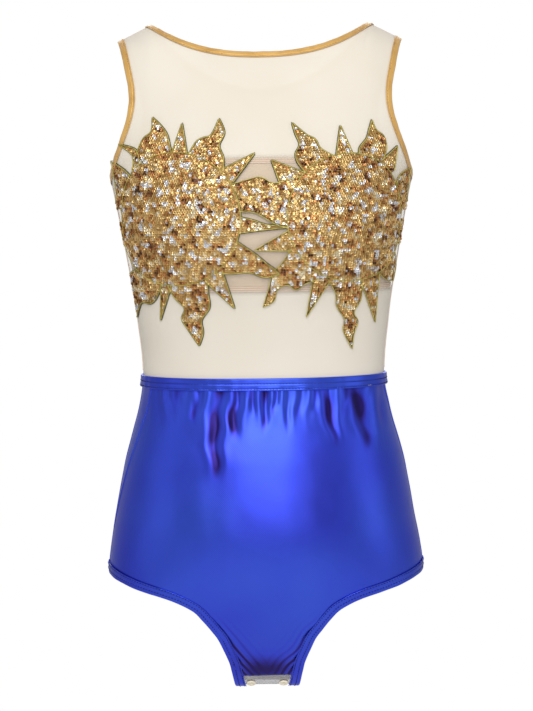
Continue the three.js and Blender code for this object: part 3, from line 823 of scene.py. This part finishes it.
brief = {
    "cols": 190, "rows": 190, "wall": 0.5, "margin": 3.2, "seamPart": 0.34,
    # across, top and bottom heights, depth, half width, painted shade of each deep gather
    "folds": [
        (-45, 322, 222, 2.6, 6.4, 0.95), (-27, 322, 262, 2.4, 6.0, 0.85), (-65, 322, 280, 1.2, 5.0, 0.45),
        (-12, 322, 288, 1.1, 3.6, 0.35), (0, 322, 272, 1.9, 4.2, 0.7), (11, 322, 286, 1.4, 3.0, 0.55),
        (24, 322, 270, 1.0, 3.4, 0.2), (36, 322, 284, 1.1, 4.6, 0.3), (50, 322, 290, 1.0, 4.0, 0.3),
        (66, 322, 256, 2.1, 5.0, 0.7), (97, 322, 250, 2.6, 8.0, 0.75), (-88, 322, 288, 0.6, 5.0, 0.25),
        (81, 322, 284, 1.0, 4.2, 0.3), (118, 322, 270, 0.8, 5.0, 0.2),
    ],
    "puckers": (1.9, 11.0, 9.0, 1.3),  # height, pitch, reach in from the hem, slope
}


def foldsAt(x, height):  # how far into its valley and onto its shoulders each deep gather is, and the painted shade in its valley
    lift, shade = np.zeros(np.shape(x)), np.zeros(np.shape(x))
    for across, high, low, depth, half, paintedDark in brief["folds"]:
        sway = (high - height) * across * 0.0012
        sway = sway + 2.2 * np.sin(height / 15 + across) + 0.9 * np.sin(height / 5.5 - across)
        reach = np.clip((height - low) / (high - low), 0, 1)
        fan = (x - across - sway) / half / (0.6 + 0.5 * reach)
        fade = smooth(reach, 0, 0.5)
        valley = np.exp(-fan * fan)
        lift += depth * fade * (0.35 * np.exp(-(np.abs(fan) - 1.9) ** 2 * 1.6) - valley)
        uneven = 0.75 + 0.35 * np.sin(height / 7 + across)
        # painted shade, darkest in the valley
        shade += paintedDark * smooth(reach, 0, 0.35) * np.exp(-(fan + 0.35) ** 2 * 1.3) * uneven
    return lift, np.clip(shade, 0, 1)


def puckersAt(x, height, inFrom):  # short creases running up and out to the leg hems by the crotch, with painted shade in their valleys
    size, pitch, reach, slope = brief["puckers"]
    strength = np.exp(-inFrom / reach) * smooth(height, 8, 22) * (1 - smooth(height, 58, 92))
    phase = (height - slope * np.abs(x)) * 2 * math.pi / pitch + 1.4 * np.sin(height / 9 + x / 11)
    return size * strength * np.sin(phase), np.clip(-np.sin(phase + 0.5), 0, 1) * strength


def hemDistance(half, girth, turn):  # across, from the leg edge
    edgeTurn, edgeGirth = edgePoint(half, half["leg"], np.linspace(0, 1, 200), 0, -1)
    order = np.argsort(edgeGirth)
    edge = np.interp(girth, edgeGirth[order], edgeTurn[order])
    return np.clip(skin(girth, edge)[..., 0] - np.abs(skin(girth, turn)[..., 0]), 0, None)


def gatherLift(girth, turn):
    height = trunkAt(girth)[2]
    x = skin(girth, turn)[..., 0]
    front = np.asarray(girth) > 0
    lift = np.where(front, foldsAt(x, height)[0], 0)
    lift += np.where(front, puckersAt(x, height, hemDistance(halves["front"], girth, turn))[0],
                     puckersAt(x, height, hemDistance(halves["back"], girth, turn))[0])
    flat = lift.ravel()
    fades = smooth(height, 262, 322).ravel()
    sides = np.where(front, 1.0, -1.0).ravel()
    for k, (a, h) in enumerate(zip(x.ravel(), height.ravel())):
        s = sides[k]
        bend = 5 * noise.noise((a / 24, h / 30, 12 + s))
        flat[k] += 1.2 * fades[k] * noise.noise(((a + bend) / 7, h / 50, 3 + s))
        flat[k] += 0.9 * noise.noise((a / 46, h / 62, 8.5 + s)) + 0.25 * noise.noise((a / 19, h / 24, 5 + s))
    return flat.reshape(x.shape)


def paintFoilShade(piece):  # painted shade: the foil's colour is darkened in its folds and puckers and under the crotch
    x, y, z = vertexPlaces(piece.data).T / mm
    height = z + body["waist"]
    shade = np.where(y < 0, foldsAt(x, height)[1], 0)
    edge = 24 + 0.55 * np.clip(height - 20, 0, None)
    shade += 0.95 * puckersAt(x, height, np.clip(edge - np.abs(x), 0, None))[1]
    # painted shade under the crotch, darkest at the bottom middle
    shade += 0.3 * np.exp(-((height - 22) / 12) ** 2 - (x / 22) ** 4)
    writeAmount(piece.data, "paintedCreaseShade", np.clip(shade, 0, 1))


def briefPlace(half, lastGirth, margins):
    waist = float(girthAt(body["waist"] - 3, 0.0, half["side"]))
    last = legPartAt(half, lastGirth)

    def place(v, w):
        turnEdge, girthEdge = edgeRow(half, half["leg"], v, brief["seamPart"], margins(v), -1, last, waist)
        middle = waist + (lastGirth - waist) * v
        return middle + (girthEdge - middle) * np.abs(w) ** 2, w * turnEdge

    return place


hinges = {"front": 62, "back": -30}
tabs = {
    "seam": 27, "tapeEnd": 2, "backEnd": -1, "frontTapeLift": -1.1, "backTapeLift": -5.6,
    "halfTurn": math.radians(16),
}


def hingePlace(girth):
    return Vector(onSkin(np.array([float(girth)]), np.array([0.0]))[0])


frontFold = ("leotard", "front_flap", hingePlace(hinges["front"] + 6), hingePlace(hinges["front"] - 6))
backWay = Vector((0, -0.9, -0.44)) * 6 * mm
backFold = ("leotard", "back_flap", hingePlace(hinges["back"]) - backWay, hingePlace(hinges["back"]) + backWay)


def backTabLift(girth):
    return tabs["backTapeLift"] * smooth(girth, hinges["back"], -5)


frontBrief = clothSheet("frontBrief", brief["cols"], brief["rows"],
                        briefPlace(halves["front"], tabs["seam"], lambda v: np.full(np.shape(v), brief["margin"])),
                        gatherLift, brief["wall"], looks["foil"], frontFold,
                        ["brief_front_panel", "front_tab"])
paintFoilShade(frontBrief)
clothSheet("backBrief", 150, 150,
           briefPlace(halves["back"], tabs["backEnd"], lambda v: brief["margin"] + 6 * smooth(v, 0.9, 0.96)),
           lambda g, t: gatherLift(g, t) * (1 - smooth(g, -60, -30)) + backTabLift(g),
           brief["wall"], looks["foil"], backFold, ["brief_back_panel", "back_tab"])
print("brief done")

# Leg hems with the elastic inside


def legPath(half, lastGirth, hand, steps=130):
    last = legPartAt(half, lastGirth)
    turn, girth = edgePoint(half, half["leg"], last * np.arange(steps + 1) / steps, 0, -1)
    return girth, turn * hand


hem = {"wall": 0.4, "rows": (4.4, 9.4), "lift": 1.3}
hem["line"] = foldLine(11, 0.85, -0.95, dips=hem["rows"], dip=0.35)
flatElastic = [(into, -0.75) for into in np.linspace(1.6, 9.4, 12)]
for name, hand in (("Left", 1), ("Right", -1)):
    low = name.lower()
    for side, lastGirth, rides in (("front", tabs["tapeEnd"], frontFold),
                                   ("back", hinges["back"] - 0.8, "leotard")):
        path = legPath(halves[side], lastGirth, hand)
        nodes = ["leg_hem_" + low] + (["front_tab_hem_" + low] if side == "front" else [])
        beside = (hand * 400, 0, -body["waist"])
        wave = ripple(0.4, 14, hand * 3.1 + lastGirth)
        edgeSheet(side + "Hem" + name, path, hem["line"], hem["wall"], looks["foil"], "blue_foil", rides, nodes,
                  beside=beside, wave=wave)
        stitchRow(side + "HemStitches" + name, path, hem["rows"], hem["lift"], looks["blueThread"], "blue_foil",
                  rides, nodes, beside=beside, wave=wave)
        if side == "front":
            path = legPath(halves[side], hinges["front"] + 8, hand)
        edgeSheet(side + "LegElastic" + name, path, flatElastic, 0.4, looks["whiteElastic"], "elastic", "leotard",
                  ["leg_elastic_" + low], beside=beside, declared=False)
print("hems done")

# Waistband

waistPath = ringPath(body["waist"], steps=170)
waistRows = (-4.4, 0.6)
onWaist = {"closed": True, "beside": (0, 0, -1000)}
waistLine = [(0, 0.9), (-5, 0.9), (-5.8, 1.1), (-6.1, 1.7), (-5.8, 2.4)]
for into in np.linspace(-5.2, 5.2, 27):
    waistLine.append((into, 2.6 - 0.5 * sum(math.exp(-((into - row) / 0.6) ** 2) for row in waistRows)))
waistLine += [(5.8, 2.4), (6.1, 1.7), (5.8, 1.1), (5, 0.9), (0.6, 0.9)]


def waistWave(along, into, lift):
    low = 0.35 + 0.4 * (into < -2)
    return np.array([low * noise.noise((a / 6.5, into / 14, 4.4)) for a in along])


edgeSheet("waistBand", waistPath, waistLine, 0.5, looks["foil"], "blue_foil", "leotard", ["waistband"],
          wave=waistWave, **onWaist)
stitchRow("waistStitches", waistPath, waistRows, 2.75, looks["blueThread"], "blue_foil", "leotard", ["waistband"],
          wave=waistWave, **onWaist)
edgeSheet("waistElastic", waistPath, [(into, 1.75) for into in np.linspace(-4.8, 4.8, 14)], 0.45,
          looks["whiteElastic"], "elastic", "leotard", ["waist_elastic"], declared=False, **onWaist)
print("waistband done")

# Seams: sides and shoulders


def raisedLine(half):  # a seam's cross line
    return [(-half * 1.6, -0.1), (-half, 0.5), (-half * 0.4, 0.85), (half * 0.4, 0.85), (half, 0.5),
            (half * 1.6, -0.1)]


seamKinds = {
    "foil": ("foil", "blue_foil", "brief_front_panel"),
    "net": ("seamThread", "sheer_mesh", "front_mesh_panel"),
}
# kind and half width, then degrees round and height along the seam
seams = {
    "sideSeamRight": ("foil", 1.2, [(-66, 322), (-69, 290), (-73, 255), (-80, 210), (-86, 170)]),
    "sideSeamLeft": ("foil", 1.1, [(80, 322), (83, 300), (86, 270), (88, 230)]),
    "topSeamRight": ("net", 0.7, [(-84, 334), (-86, 400), (-87, 470), (-88, 526)]),
    "topSeamLeft": ("net", 0.7, [(84, 334), (86, 400), (87, 470), (88, 526)]),
    "hipSeamRight": ("foil", 1.0, [(-90, 322), (-90, 280), (-90, 220), (-90, body["hipEdge"] + 0.5)]),
    "hipSeamLeft": ("foil", 1.0, [(90, 322), (90, 280), (90, 220), (90, body["hipEdge"] + 0.5)]),
}
for name, (kind, half, run) in seams.items():
    look, slot, node = seamKinds[kind]
    at = splineAt([(math.radians(degrees), height) for degrees, height in run], np.linspace(0, 1, 90))
    path = (girthAt(at[:, 1], at[:, 0], 1), at[:, 0])
    rise = gatherLift(*path) if kind == "foil" else np.zeros(90)
    edgeSheet(name, path, raisedLine(half), 0.3, looks[look], slot, "leotard", [node], beside=(0, 0, 0),
              wave=lambda along, into, lift, rise=rise: rise, declared=False)
for name, hand in (("Left", 1), ("Right", -1)):
    innerTurn = math.asin(117 / float(trunkAt(frontTop)[0]))
    outerTurn = math.radians(50.5)
    turn = hand * np.linspace(innerTurn, outerTurn, 40)
    path = (np.full(40, frontTop), turn)
    edgeSheet("shoulderSeam" + name, path, [(-1.3, 0.1), (-0.8, 0.6), (0, 0.75), (0.8, 0.6), (1.3, 0.1)], 0.3,
              looks["seamThread"], "sheer_mesh", "leotard", ["front_mesh_panel", "back_mesh_panel"],
              beside=(0, 0, 0), declared=False)
print("seams done")

# Cotton gusset and the snap tapes


def stripPlace(start, end, halfTurn):
    def place(v, w):
        girth = start + (end - start) * v
        return girth, w * halfTurn(girth)

    return place


for name, start, end in (("front", 66, 112), ("back", -36, -92)):
    clothSheet(name + "Gusset", 24, 24, stripPlace(start, end, lambda g: tabs["halfTurn"] * 0.65), level(-2.6),
               0.6, looks["cotton"], "leotard", ["gusset_lining_" + name])


def betweenHems(girth):  # half the width left between the casings
    return tabs["halfTurn"] - 9.6 / trunkAt(girth)[0]


tapes = {"front": (tabs["tapeEnd"] - 0.5, tabs["seam"] + 2), "back": (-0.5, 25)}
for name, (start, end) in tapes.items():
    clothSheet(name + "Tape", 30, 18, stripPlace(start, end, betweenHems), level(tabs[name + "TapeLift"]), 0.7,
               looks["tape"], name + "_flap", [name + "_snap_tape"])

snapGirth, snapSpacing = 13, 34
# each turned piece: the flap it rides, then radius and lift round its profile
snaps = {
    "front_snap_cap": ("front_flap", [
        (0, -0.4), (4.6, -0.4), (4.8, -0.1), (4.8, 0.3), (4.6, 0.8), (4.1, 1.15), (3.5, 1.2),
        (2.9, 1.1), (2.5, 0.8), (2.3, 0.45), (1.6, 0.35), (1.2, 0.5), (0.6, 0.62), (0, 0.65),
    ]),
    "front_snap_socket": ("front_flap", [
        (0, -2.2), (4.2, -2.2), (4.3, -2.5), (4.2, -3.4), (3.7, -3.9), (2.6, -3.9), (2.3, -3.7),
        (2.2, -3.0), (0, -3.0),
    ]),
    "back_snap_stud": ("back_flap", [
        (0, -4.95), (4.2, -4.95), (4.3, -4.8), (4.2, -4.6), (2.2, -4.4), (1.9, -4.1), (1.8, -3.5),
        (1.5, -3.2), (0, -3.2),
    ]),
    "back_snap_cap": ("back_flap", [
        (0, -8.3), (3.6, -8.3), (4.2, -8.1), (4.4, -7.8), (4.4, -7.3), (4.2, -7.2), (0, -7.2),
    ]),
}
snapTurn = math.asin(snapSpacing / 2 / float(trunkAt(snapGirth)[0]))
for side, hand in (("left", 1), ("right", -1)):
    for name, (flap, profile) in snaps.items():
        turnedPiece(name.replace("_", "") + side.title(), profile, snapGirth, hand * snapTurn, looks["resin"],
                    flap, [name + "_" + side])
print("crotch done")

# Sunbursts: net backing, cords and sequins

# Each ray: one edge from the disc up to its tip, the tip, then the other edge back; across and height
suns = {
    "Right": {
        "centre": (-87, 490), "radius": 66, "seed": 3,
        "rays": [
            ([(-129, 540), (-123, 559), (-117, 571), (-109, 578)], (-108, 592),
             [(-99, 583), (-93, 574), (-90, 562), (-88, 552)]),
            ([(-88, 556)], (-78, 585), [(-73, 554)]),
            ([(-72, 553), (-64, 566), (-57, 570), (-49, 573)], (-41, 589),
             [(-36, 575), (-41, 562), (-37, 550), (-37, 538)]),
            ([(-39, 538)], (-6, 554), [(-28, 525)]),
            ([(-24, 492), (-8, 488), (4, 484)], (27, 481), [(5, 479), (-22, 476)]),
            ([(-24, 467), (-8, 456), (4, 446), (12, 440)], (17, 435),
             [(2, 432), (-13, 437), (-30, 436), (-46, 437)]),
            ([(-40, 440)], (-28, 401), [(-58, 430)]),
            ([(-55, 432), (-54, 416), (-53, 402), (-61, 389), (-60, 376)], (-64, 363),
             [(-74, 378), (-81, 390), (-78, 401), (-88, 412), (-95, 426)]),
            ([(-90, 426)], (-103, 388), [(-101, 428)]),
            ([(-99, 428), (-106, 412), (-113, 405), (-123, 405)], (-129, 389),
             [(-136, 412), (-137, 432), (-124, 441), (-116, 446)]),
            ([(-130, 484), (-131, 468)], (-149, 458), [(-148, 474), (-146, 488)]),
            ([(-150, 500), (-147, 520)], (-152, 550), [(-137, 540), (-128, 530)]),
            ([(-128, 541), (-129, 555)], (-143, 566), [(-125, 560), (-121, 546)]),
        ],
    },
    "Left": {
        "centre": (88, 490), "radius": 63, "seed": 8,
        "rays": [
            ([(45, 532), (36, 544), (34, 553), (38, 562), (34, 573)], (31, 584),
             [(45, 572), (54, 567), (59, 558), (74, 549)]),
            ([(74, 550)], (79, 581), [(92, 550)]),
            ([(97, 551), (98, 559), (105, 568), (108, 577)], (111, 587),
             [(115, 577), (123, 570), (125, 558), (121, 546)]),
            ([(120, 546)], (137, 561), [(133, 536)]),
            ([(18, 524)], (10, 547), [(48, 532)]),
            ([(45, 531), (30, 528), (12, 524), (-1, 530), (-20, 526)], (-60, 515),
             [(-26, 498), (-9, 496), (2, 491), (14, 484), (32, 478)]),
            ([(30, 480)], (-8, 459), [(30, 458)]),
            ([(28, 460), (20, 447), (10, 436), (6, 421)], (0, 402),
             [(11, 408), (15, 420), (25, 424), (33, 419), (42, 425), (56, 430)]),
            ([(50, 432)], (43, 391), [(67, 428)]),
            ([(64, 430), (72, 415), (73, 402), (81, 388), (80, 376)], (89, 357),
             [(91, 373), (95, 385), (91, 395), (98, 408), (99, 428)]),
            ([(97, 428)], (113, 383), [(117, 434)]),
            ([(112, 440), (122, 428)], (133, 424), [(136, 440), (134, 455)]),
            ([(132, 484), (133, 468)], (148, 456), [(147, 474), (146, 488)]),
            ([(150, 496), (148, 512)], (151, 540), [(139, 532), (135, 520)]),
        ],
    },
}


def rayOutline(ray, centre):  # up one edge to the tip, down the other and in towards the disc's middle
    def edge(points):
        points = np.array(points, float)
        if len(points) == 2:
            return points
        return splineAt(points, np.linspace(0, 1, 8 * (len(points) - 1)))

    outward, tip, back = ray
    up = edge([*outward, tip])
    down = edge([tip, *back])
    inner = (up[0] + down[-1]) * 0.3 + np.array(centre) * 0.4
    return np.concatenate([up, down[1:], [inner]])


def discOutline(sun, steps=150):
    angle = 2 * np.pi * np.arange(steps) / steps
    way = np.sign(sun["centre"][0])
    across = np.cos(angle) * (1 - 0.18 * np.clip(np.cos(angle) * way, 0, None) ** 2)
    return np.array(sun["centre"]) + sun["radius"] * np.stack([across, np.sin(angle)], -1)


def insideBy(points, outline):  # how far inside a closed outline each point is; negative outside
    a, b = outline, np.roll(outline, -1, axis=0)
    edge = b - a
    rel = points[:, None] - a[None]
    t = np.clip((rel * edge).sum(-1) / (edge * edge).sum(-1), 0, 1)
    away = np.linalg.norm(rel - t[..., None] * edge, axis=-1).min(1)
    height = points[:, None, 1]
    crosses = (a[None, :, 1] > height) != (b[None, :, 1] > height)
    climb = np.where(edge[:, 1] == 0, 1e-9, edge[:, 1])
    cut = a[None, :, 0] + (height - a[None, :, 1]) / climb * edge[:, 0]
    inside = (crosses & (points[:, None, 0] < cut)).sum(1) % 2 == 1
    return np.where(inside, away, -away)


def discDepth(points, sun):  # the disc is foreshortened where it turns to the side
    away = points - np.array(sun["centre"])
    outward = np.clip(away[:, 0] * np.sign(sun["centre"][0]), 0, None)
    return sun["radius"] - np.hypot(away[:, 0] * (1 + 0.22 * (outward / 54) ** 2), away[:, 1])


def withinSides(points):  # distance in from the side seams
    girth = girthAt(points[:, 1], np.zeros(len(points)), 1)
    return trunkAt(girth)[0] * 0.995 - np.abs(points[:, 0])


def insideSun(points, sun):
    depth = discDepth(points, sun)
    for ray in sun["rays"]:
        depth = np.maximum(depth, insideBy(points, rayOutline(ray, sun["centre"])))
    return depth


def frontPoints(flat, lift):  # places on the front from across and height
    girth, turn = frontAt(flat[:, 0], flat[:, 1])
    return onSkin(girth, turn, lift), skinNormal(girth, turn)


netGrid = {"cell": 1.7, "start": (-100, -140), "span": (225, 250), "innerShift": 28}


def sunNet(name, sun, others):
    cell = netGrid["cell"]
    low = np.array(sun["centre"]) + netGrid["start"]
    cols, rows = (int(span / cell) for span in netGrid["span"])
    if sun["centre"][0] > 0:
        low[0] -= netGrid["innerShift"]
    xs, ys = np.meshgrid(low[0] + cell * np.arange(cols + 1), low[1] + cell * np.arange(rows + 1))
    flat = np.stack([xs.ravel(), ys.ravel()], -1)
    depth = insideSun(flat, sun)
    depth = np.minimum(depth, withinSides(flat))
    for other in others:
        depth = np.minimum(depth, -insideSun(flat, other) - 0.3)
    grid = depth.reshape(rows + 1, cols + 1)
    dy, dx = np.gradient(grid, cell)
    size = np.maximum(np.hypot(dx, dy), 0.5)
    way = np.stack([(dx / size).ravel(), (dy / size).ravel()], -1)
    outer = (depth <= 0) & (depth > -cell)  # the ring just outside is drawn in to the outline
    flat[outer] -= way[outer] * depth[outer][:, None]
    keep = depth > -cell
    index = np.arange(len(flat)).reshape(rows + 1, cols + 1)
    quads = np.stack([index[:-1, :-1], index[:-1, 1:], index[1:, 1:], index[1:, :-1]], -1).reshape(-1, 4)
    inside = keep[quads].all(1) & (depth[quads] > 0).any(1)
    quads = quads[inside]
    used, faces = np.unique(quads, return_inverse=True)
    faces = faces.reshape(-1, 4)
    points, _ = frontPoints(flat[used], 0.75)
    piece = meshPiece(name, points, [tuple(int(i) for i in f) for f in faces], looks["net"])
    piece.data.uv_layers.new(name="UVMap")
    writeUv(piece.data, flat[used] * mm)
    area = areaOf(piece)
    thicken(piece, 0.5)
    span = flat[used].max(0) - flat[used].min(0)
    return piece, area, span * mm * 1.05


def traceCord(curve, flat, lift):  # one run of thread over the outline's places
    points, _ = frontPoints(flat, lift)
    spline = curve.splines.new("POLY")
    spline.points.add(len(points) - 1)
    for point, place in zip(spline.points, points):
        point.co = (*place, 1)


def cordRuns(outline, keep):  # unbroken runs of the outline that are kept
    runs, run = [], []
    for at, ok in zip(outline, keep):
        if ok:
            run.append(at)
        elif run:
            runs.append(run)
            run = []
    if run:
        runs.append(run)
    return [np.array(r) for r in runs if len(r) > 2]


def finerLine(outline, step=1.4, closed=False):
    if closed:
        outline = np.concatenate([outline, outline[:1]])
    along = lengthsAlong(outline)
    places = np.arange(0, along[-1], step)
    return np.stack([np.interp(places, along, outline[:, k]) for k in (0, 1)], -1)


def offsetLine(outline, distance):
    way = np.gradient(outline, axis=0)
    square = np.stack([way[:, 1], -way[:, 0]], -1) / np.linalg.norm(way, axis=1, keepdims=True)
    return outline + square * distance


def makeCords(name, sun, others, outward, radius, lift, look):
    curve = bpy.data.curves.new(name, "CURVE")
    curve.dimensions = "3D"
    curve.bevel_depth = radius * mm
    curve.bevel_resolution = 1
    curve.use_fill_caps = True
    disc = finerLine(discOutline(sun), closed=True)
    rim = withinSides(disc) > 0.4
    if outward:  # the dark rim, painted shade beside the raised cord, runs only where nothing crosses the disc
        for ray in sun["rays"]:
            rim &= insideBy(disc, rayOutline(ray, sun["centre"])) < 0
        for other in others:
            rim &= insideSun(disc, other) < 0.5
    lines = [(offsetLine(disc, outward), rim)]
    for ray in sun["rays"]:
        line = finerLine(rayOutline(ray, sun["centre"])[:-1])
        keep = (discDepth(line, sun) < 1) & (withinSides(line) > 0.4)
        for other in others:
            keep &= insideSun(line, other) < 1.5
        if outward:
            for crossing in sun["rays"]:
                if crossing is not ray:
                    keep &= insideBy(line, rayOutline(crossing, sun["centre"])) < 0.5
        lines.append((offsetLine(line, -outward), keep))
    for line, keep in lines:
        for run in cordRuns(line, keep):
            traceCord(curve, run, lift)
    piece = newPiece(name, curve)
    pick(piece)
    bpy.ops.object.convert(target="MESH")
    piece = bpy.context.object
    piece.name = piece.data.name = name
    piece.data.materials.clear()
    piece.data.materials.append(looks[look])
    finishNormals(piece)
    piece.data.shade_smooth()
    return piece


sequin = {
    "radius": 1.55, "pitch": 2.75, "rowStep": 0.87, "tilt": 0.21, "sway": 0.42, "cup": 0.25, "sides": 8,
    "below": 137, "tall": 250,  # how far under the disc's middle the rows start, and how far they go up
}
# the near-white tint is a painted glint, and the brown and darkest tints are painted dark reflections
tints = {
    "gold": tone(228, 190, 124), "pale": tone(247, 231, 194), "orange": tone(204, 142, 84),
    "paintedDimReflection": tone(132, 82, 54), "paintedGlint": tone(242, 244, 250), "paintedDark": tone(84, 58, 44),
}


def pickTint(x, h, seed, rng):
    clump = noise.noise((x / 9, h / 9, seed)) + 0.5 * noise.noise((x / 4.5, h / 4.5, seed + 9))
    clump += rng.uniform(-0.2, 0.2)
    glint = noise.noise((x / 6.5, h / 6.5, seed + 20)) + rng.uniform(-0.2, 0.2)
    # painted glints in clumps
    if glint > 0.3:
        return tints["paintedGlint"]
    # the low clumps are painted dark reflections
    if clump < -0.42:
        return tints["paintedDark"] if rng.random() < 0.35 else tints["paintedDimReflection"]
    if clump < -0.18:
        return tints["orange"]
    if clump > 0.4:
        return tints["pale"]
    return tints["gold"]


def makeSequins(name, sun, others):
    rng = random.Random(sun["seed"])
    pitch = sequin["pitch"]
    spots = []
    fan = np.linspace(-quarter, quarter, 400)
    for row in range(int(sequin["tall"] / (pitch * sequin["rowStep"]))):
        height = sun["centre"][1] - sequin["below"] + pitch * sequin["rowStep"] * row
        around = skin(girthAt(np.full(400, height), fan, 1), fan)
        along = lengthsAlong(around)
        places = np.arange(pitch * (0.5 + 0.5 * (row % 2)), along[-1], pitch)
        for x in np.interp(places + [rng.uniform(-0.35, 0.35) for _ in places], along, around[:, 0]):
            spots.append((x, height + rng.uniform(-0.35, 0.35)))
    spots = np.array(spots)
    depth = np.minimum(insideSun(spots, sun), withinSides(spots) * 4)
    for other in others:
        depth = np.minimum(depth, -insideSun(spots, other))
    spots = spots[depth > 1.1]
    places, ups = frontPoints(spots, 1.5)
    sides = sequin["sides"]
    ring = [(math.cos(2 * math.pi * k / sides), math.sin(2 * math.pi * k / sides)) for k in range(sides)]
    points, faces, colours = [], [], []
    for (x, h), place, up in zip(spots, places, ups):
        first = len(points)
        sway = []
        for k in (1, 2):
            drape = noise.noise((x / 6.5, h / 6.5, sun["seed"] + k * 4))
            sway.append(sequin["sway"] * drape + rng.gauss(0, sequin["tilt"]))
        lean = Vector((*sway, 1)).normalized()
        turned = Vector(up).to_track_quat("Z", "Y") @ lean.to_track_quat("Z", "Y")
        at = Vector(place) + Vector(up) * rng.uniform(-0.25, 0.35) * mm
        tint = pickTint(x, h, sun["seed"], rng)
        shade = rng.uniform(0.85, 1.12)
        tint = tuple(min(1, c * shade) for c in tint[:3]) + (1.0,)
        # the middle face is near black: the sequin's hole, with painted shade in it
        paintedHoleShade = tuple(c * 0.08 for c in tint[:3]) + (1.0,)
        size = sequin["radius"] * rng.uniform(0.92, 1.06) * mm
        cup = sequin["cup"] * mm
        for reach, drop in ((1, 0), (0.68, -cup), (0.38, -cup * 1.1)):
            points += [at + turned @ Vector((cx * size * reach, cy * size * reach, drop)) for cx, cy in ring]
        for start in (first, first + sides):
            for k in range(sides):
                a, b = start + k, start + (k + 1) % sides
                faces.append((a, b, b + sides, a + sides))
                colours.append(tint)
        faces.append(tuple(first + 2 * sides + k for k in range(sides)))
        colours.append(paintedHoleShade)
    piece = meshPiece(name, points, faces, looks["sequin"], smoothShade=False)
    layer = piece.data.color_attributes.new("tint", "FLOAT_COLOR", "CORNER")
    counts = [len(f) for f in faces]
    layer.data.foreach_set("color", np.repeat(np.array(colours), counts, axis=0).ravel())
    print(name, len(spots), "sequins", len(faces), "faces")
    return piece


for side in ("Right", "Left"):
    sun = suns[side]
    others = [suns["Right"]] if side == "Left" else []
    node = "applique_" + side.lower()
    net, area, span = sunNet("sunNet" + side, sun, others)
    parts = [net, makeCords("sunCord" + side, sun, others, 0, 0.5, 1.7, "cord"),
             # the dark rim: painted shade just outside the cords
             makeCords("sunRimShade" + side, sun, others, 0.8, 0.34, 0.9, "rimShadeCord"),
             makeSequins("sequins" + side, sun, others)]
    for piece in parts:
        finishPiece(piece, "leotard", [node])
    declareCloth(net, (float(span[0]), float(span[1])), area)
print("sunbursts done")

# Studio

world = bpy.data.worlds.new("studio")
bpy.context.scene.world = world
world.use_nodes = True
sky = world.node_tree
back = sky.nodes["Background"]
back.inputs["Color"].default_value = (0.665, 0.65, 0.635, 1)
back.inputs["Strength"].default_value = 0.62
seen = sky.nodes.new("ShaderNodeBackground")
seen.inputs["Color"].default_value = (1, 1, 1, 1)
mix = sky.nodes.new("ShaderNodeMixShader")
path = sky.nodes.new("ShaderNodeLightPath")
sky.links.new(path.outputs["Is Camera Ray"], mix.inputs[0])
sky.links.new(back.outputs[0], mix.inputs[1])
sky.links.new(seen.outputs[0], mix.inputs[2])
sky.links.new(mix.outputs[0], sky.nodes["World Output"].inputs["Surface"])

lamps = {
    "key": {"at": (-0.2, -2.6, 1.85), "to": (0, 0, 0.05), "size": (1.8, 1.8), "power": 62},
    "front": {"at": (0.1, -3.2, 0.1), "to": (0, 0, 0), "size": (1.0, 2.0), "power": 16},
    "leftStrip": {"at": (-2.2, -1.0, 0.2), "to": (0, 0, 0), "size": (0.5, 2.2), "power": 3},
    "rightStrip": {"at": (2.2, -1.0, 0.2), "to": (0, 0, 0), "size": (0.5, 2.2), "power": 5},
    "behind": {"at": (0, 2.6, 1.2), "to": (0, 0, 0), "size": (2.4, 2.4), "power": 30},
}
for name, lamp in lamps.items():
    bpy.ops.object.light_add(type="AREA", location=lamp["at"])
    light = bpy.context.object
    light.name = name
    light.data.shape = "RECTANGLE"
    light.data.size, light.data.size_y = lamp["size"]
    light.data.energy = lamp["power"]
    light.rotation_euler = (Vector(lamp["to"]) - Vector(lamp["at"])).to_track_quat("-Z", "Y").to_euler()

bpy.ops.mesh.primitive_plane_add(size=8, location=(0, 0, -1.6))
floor = bpy.context.object
floor.name = "floor"
floor.data.materials.append(makeCloth("paleFloor", (236, 236, 236), (240, 240, 240), 0.9))
floor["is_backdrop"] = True

camera = {"at": (0, -2.3, 0.177), "to": (0, 0, 0.0215), "tall": 0.741, "roll": -0.7, "shift": (0.0042, 0.0031)}
bpy.ops.object.camera_add(location=camera["at"])
view = bpy.context.object
reach = Vector(camera["to"]) - Vector(camera["at"])
view.data.sensor_width = 36
view.data.lens = 18 * reach.length / (camera["tall"] / 2)
view.data.shift_x, view.data.shift_y = camera["shift"]
roll = Matrix.Rotation(math.radians(camera["roll"]), 3, "Z").to_quaternion()
view.rotation_mode = "QUATERNION"
view.rotation_quaternion = reach.to_track_quat("-Z", "Y") @ roll
view.data.clip_end = 60
bpy.context.scene.camera = view
bpy.context.scene.view_settings.view_transform = "Standard"

low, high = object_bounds()
print("size", [round(v, 4) for v in (*low, *high)])
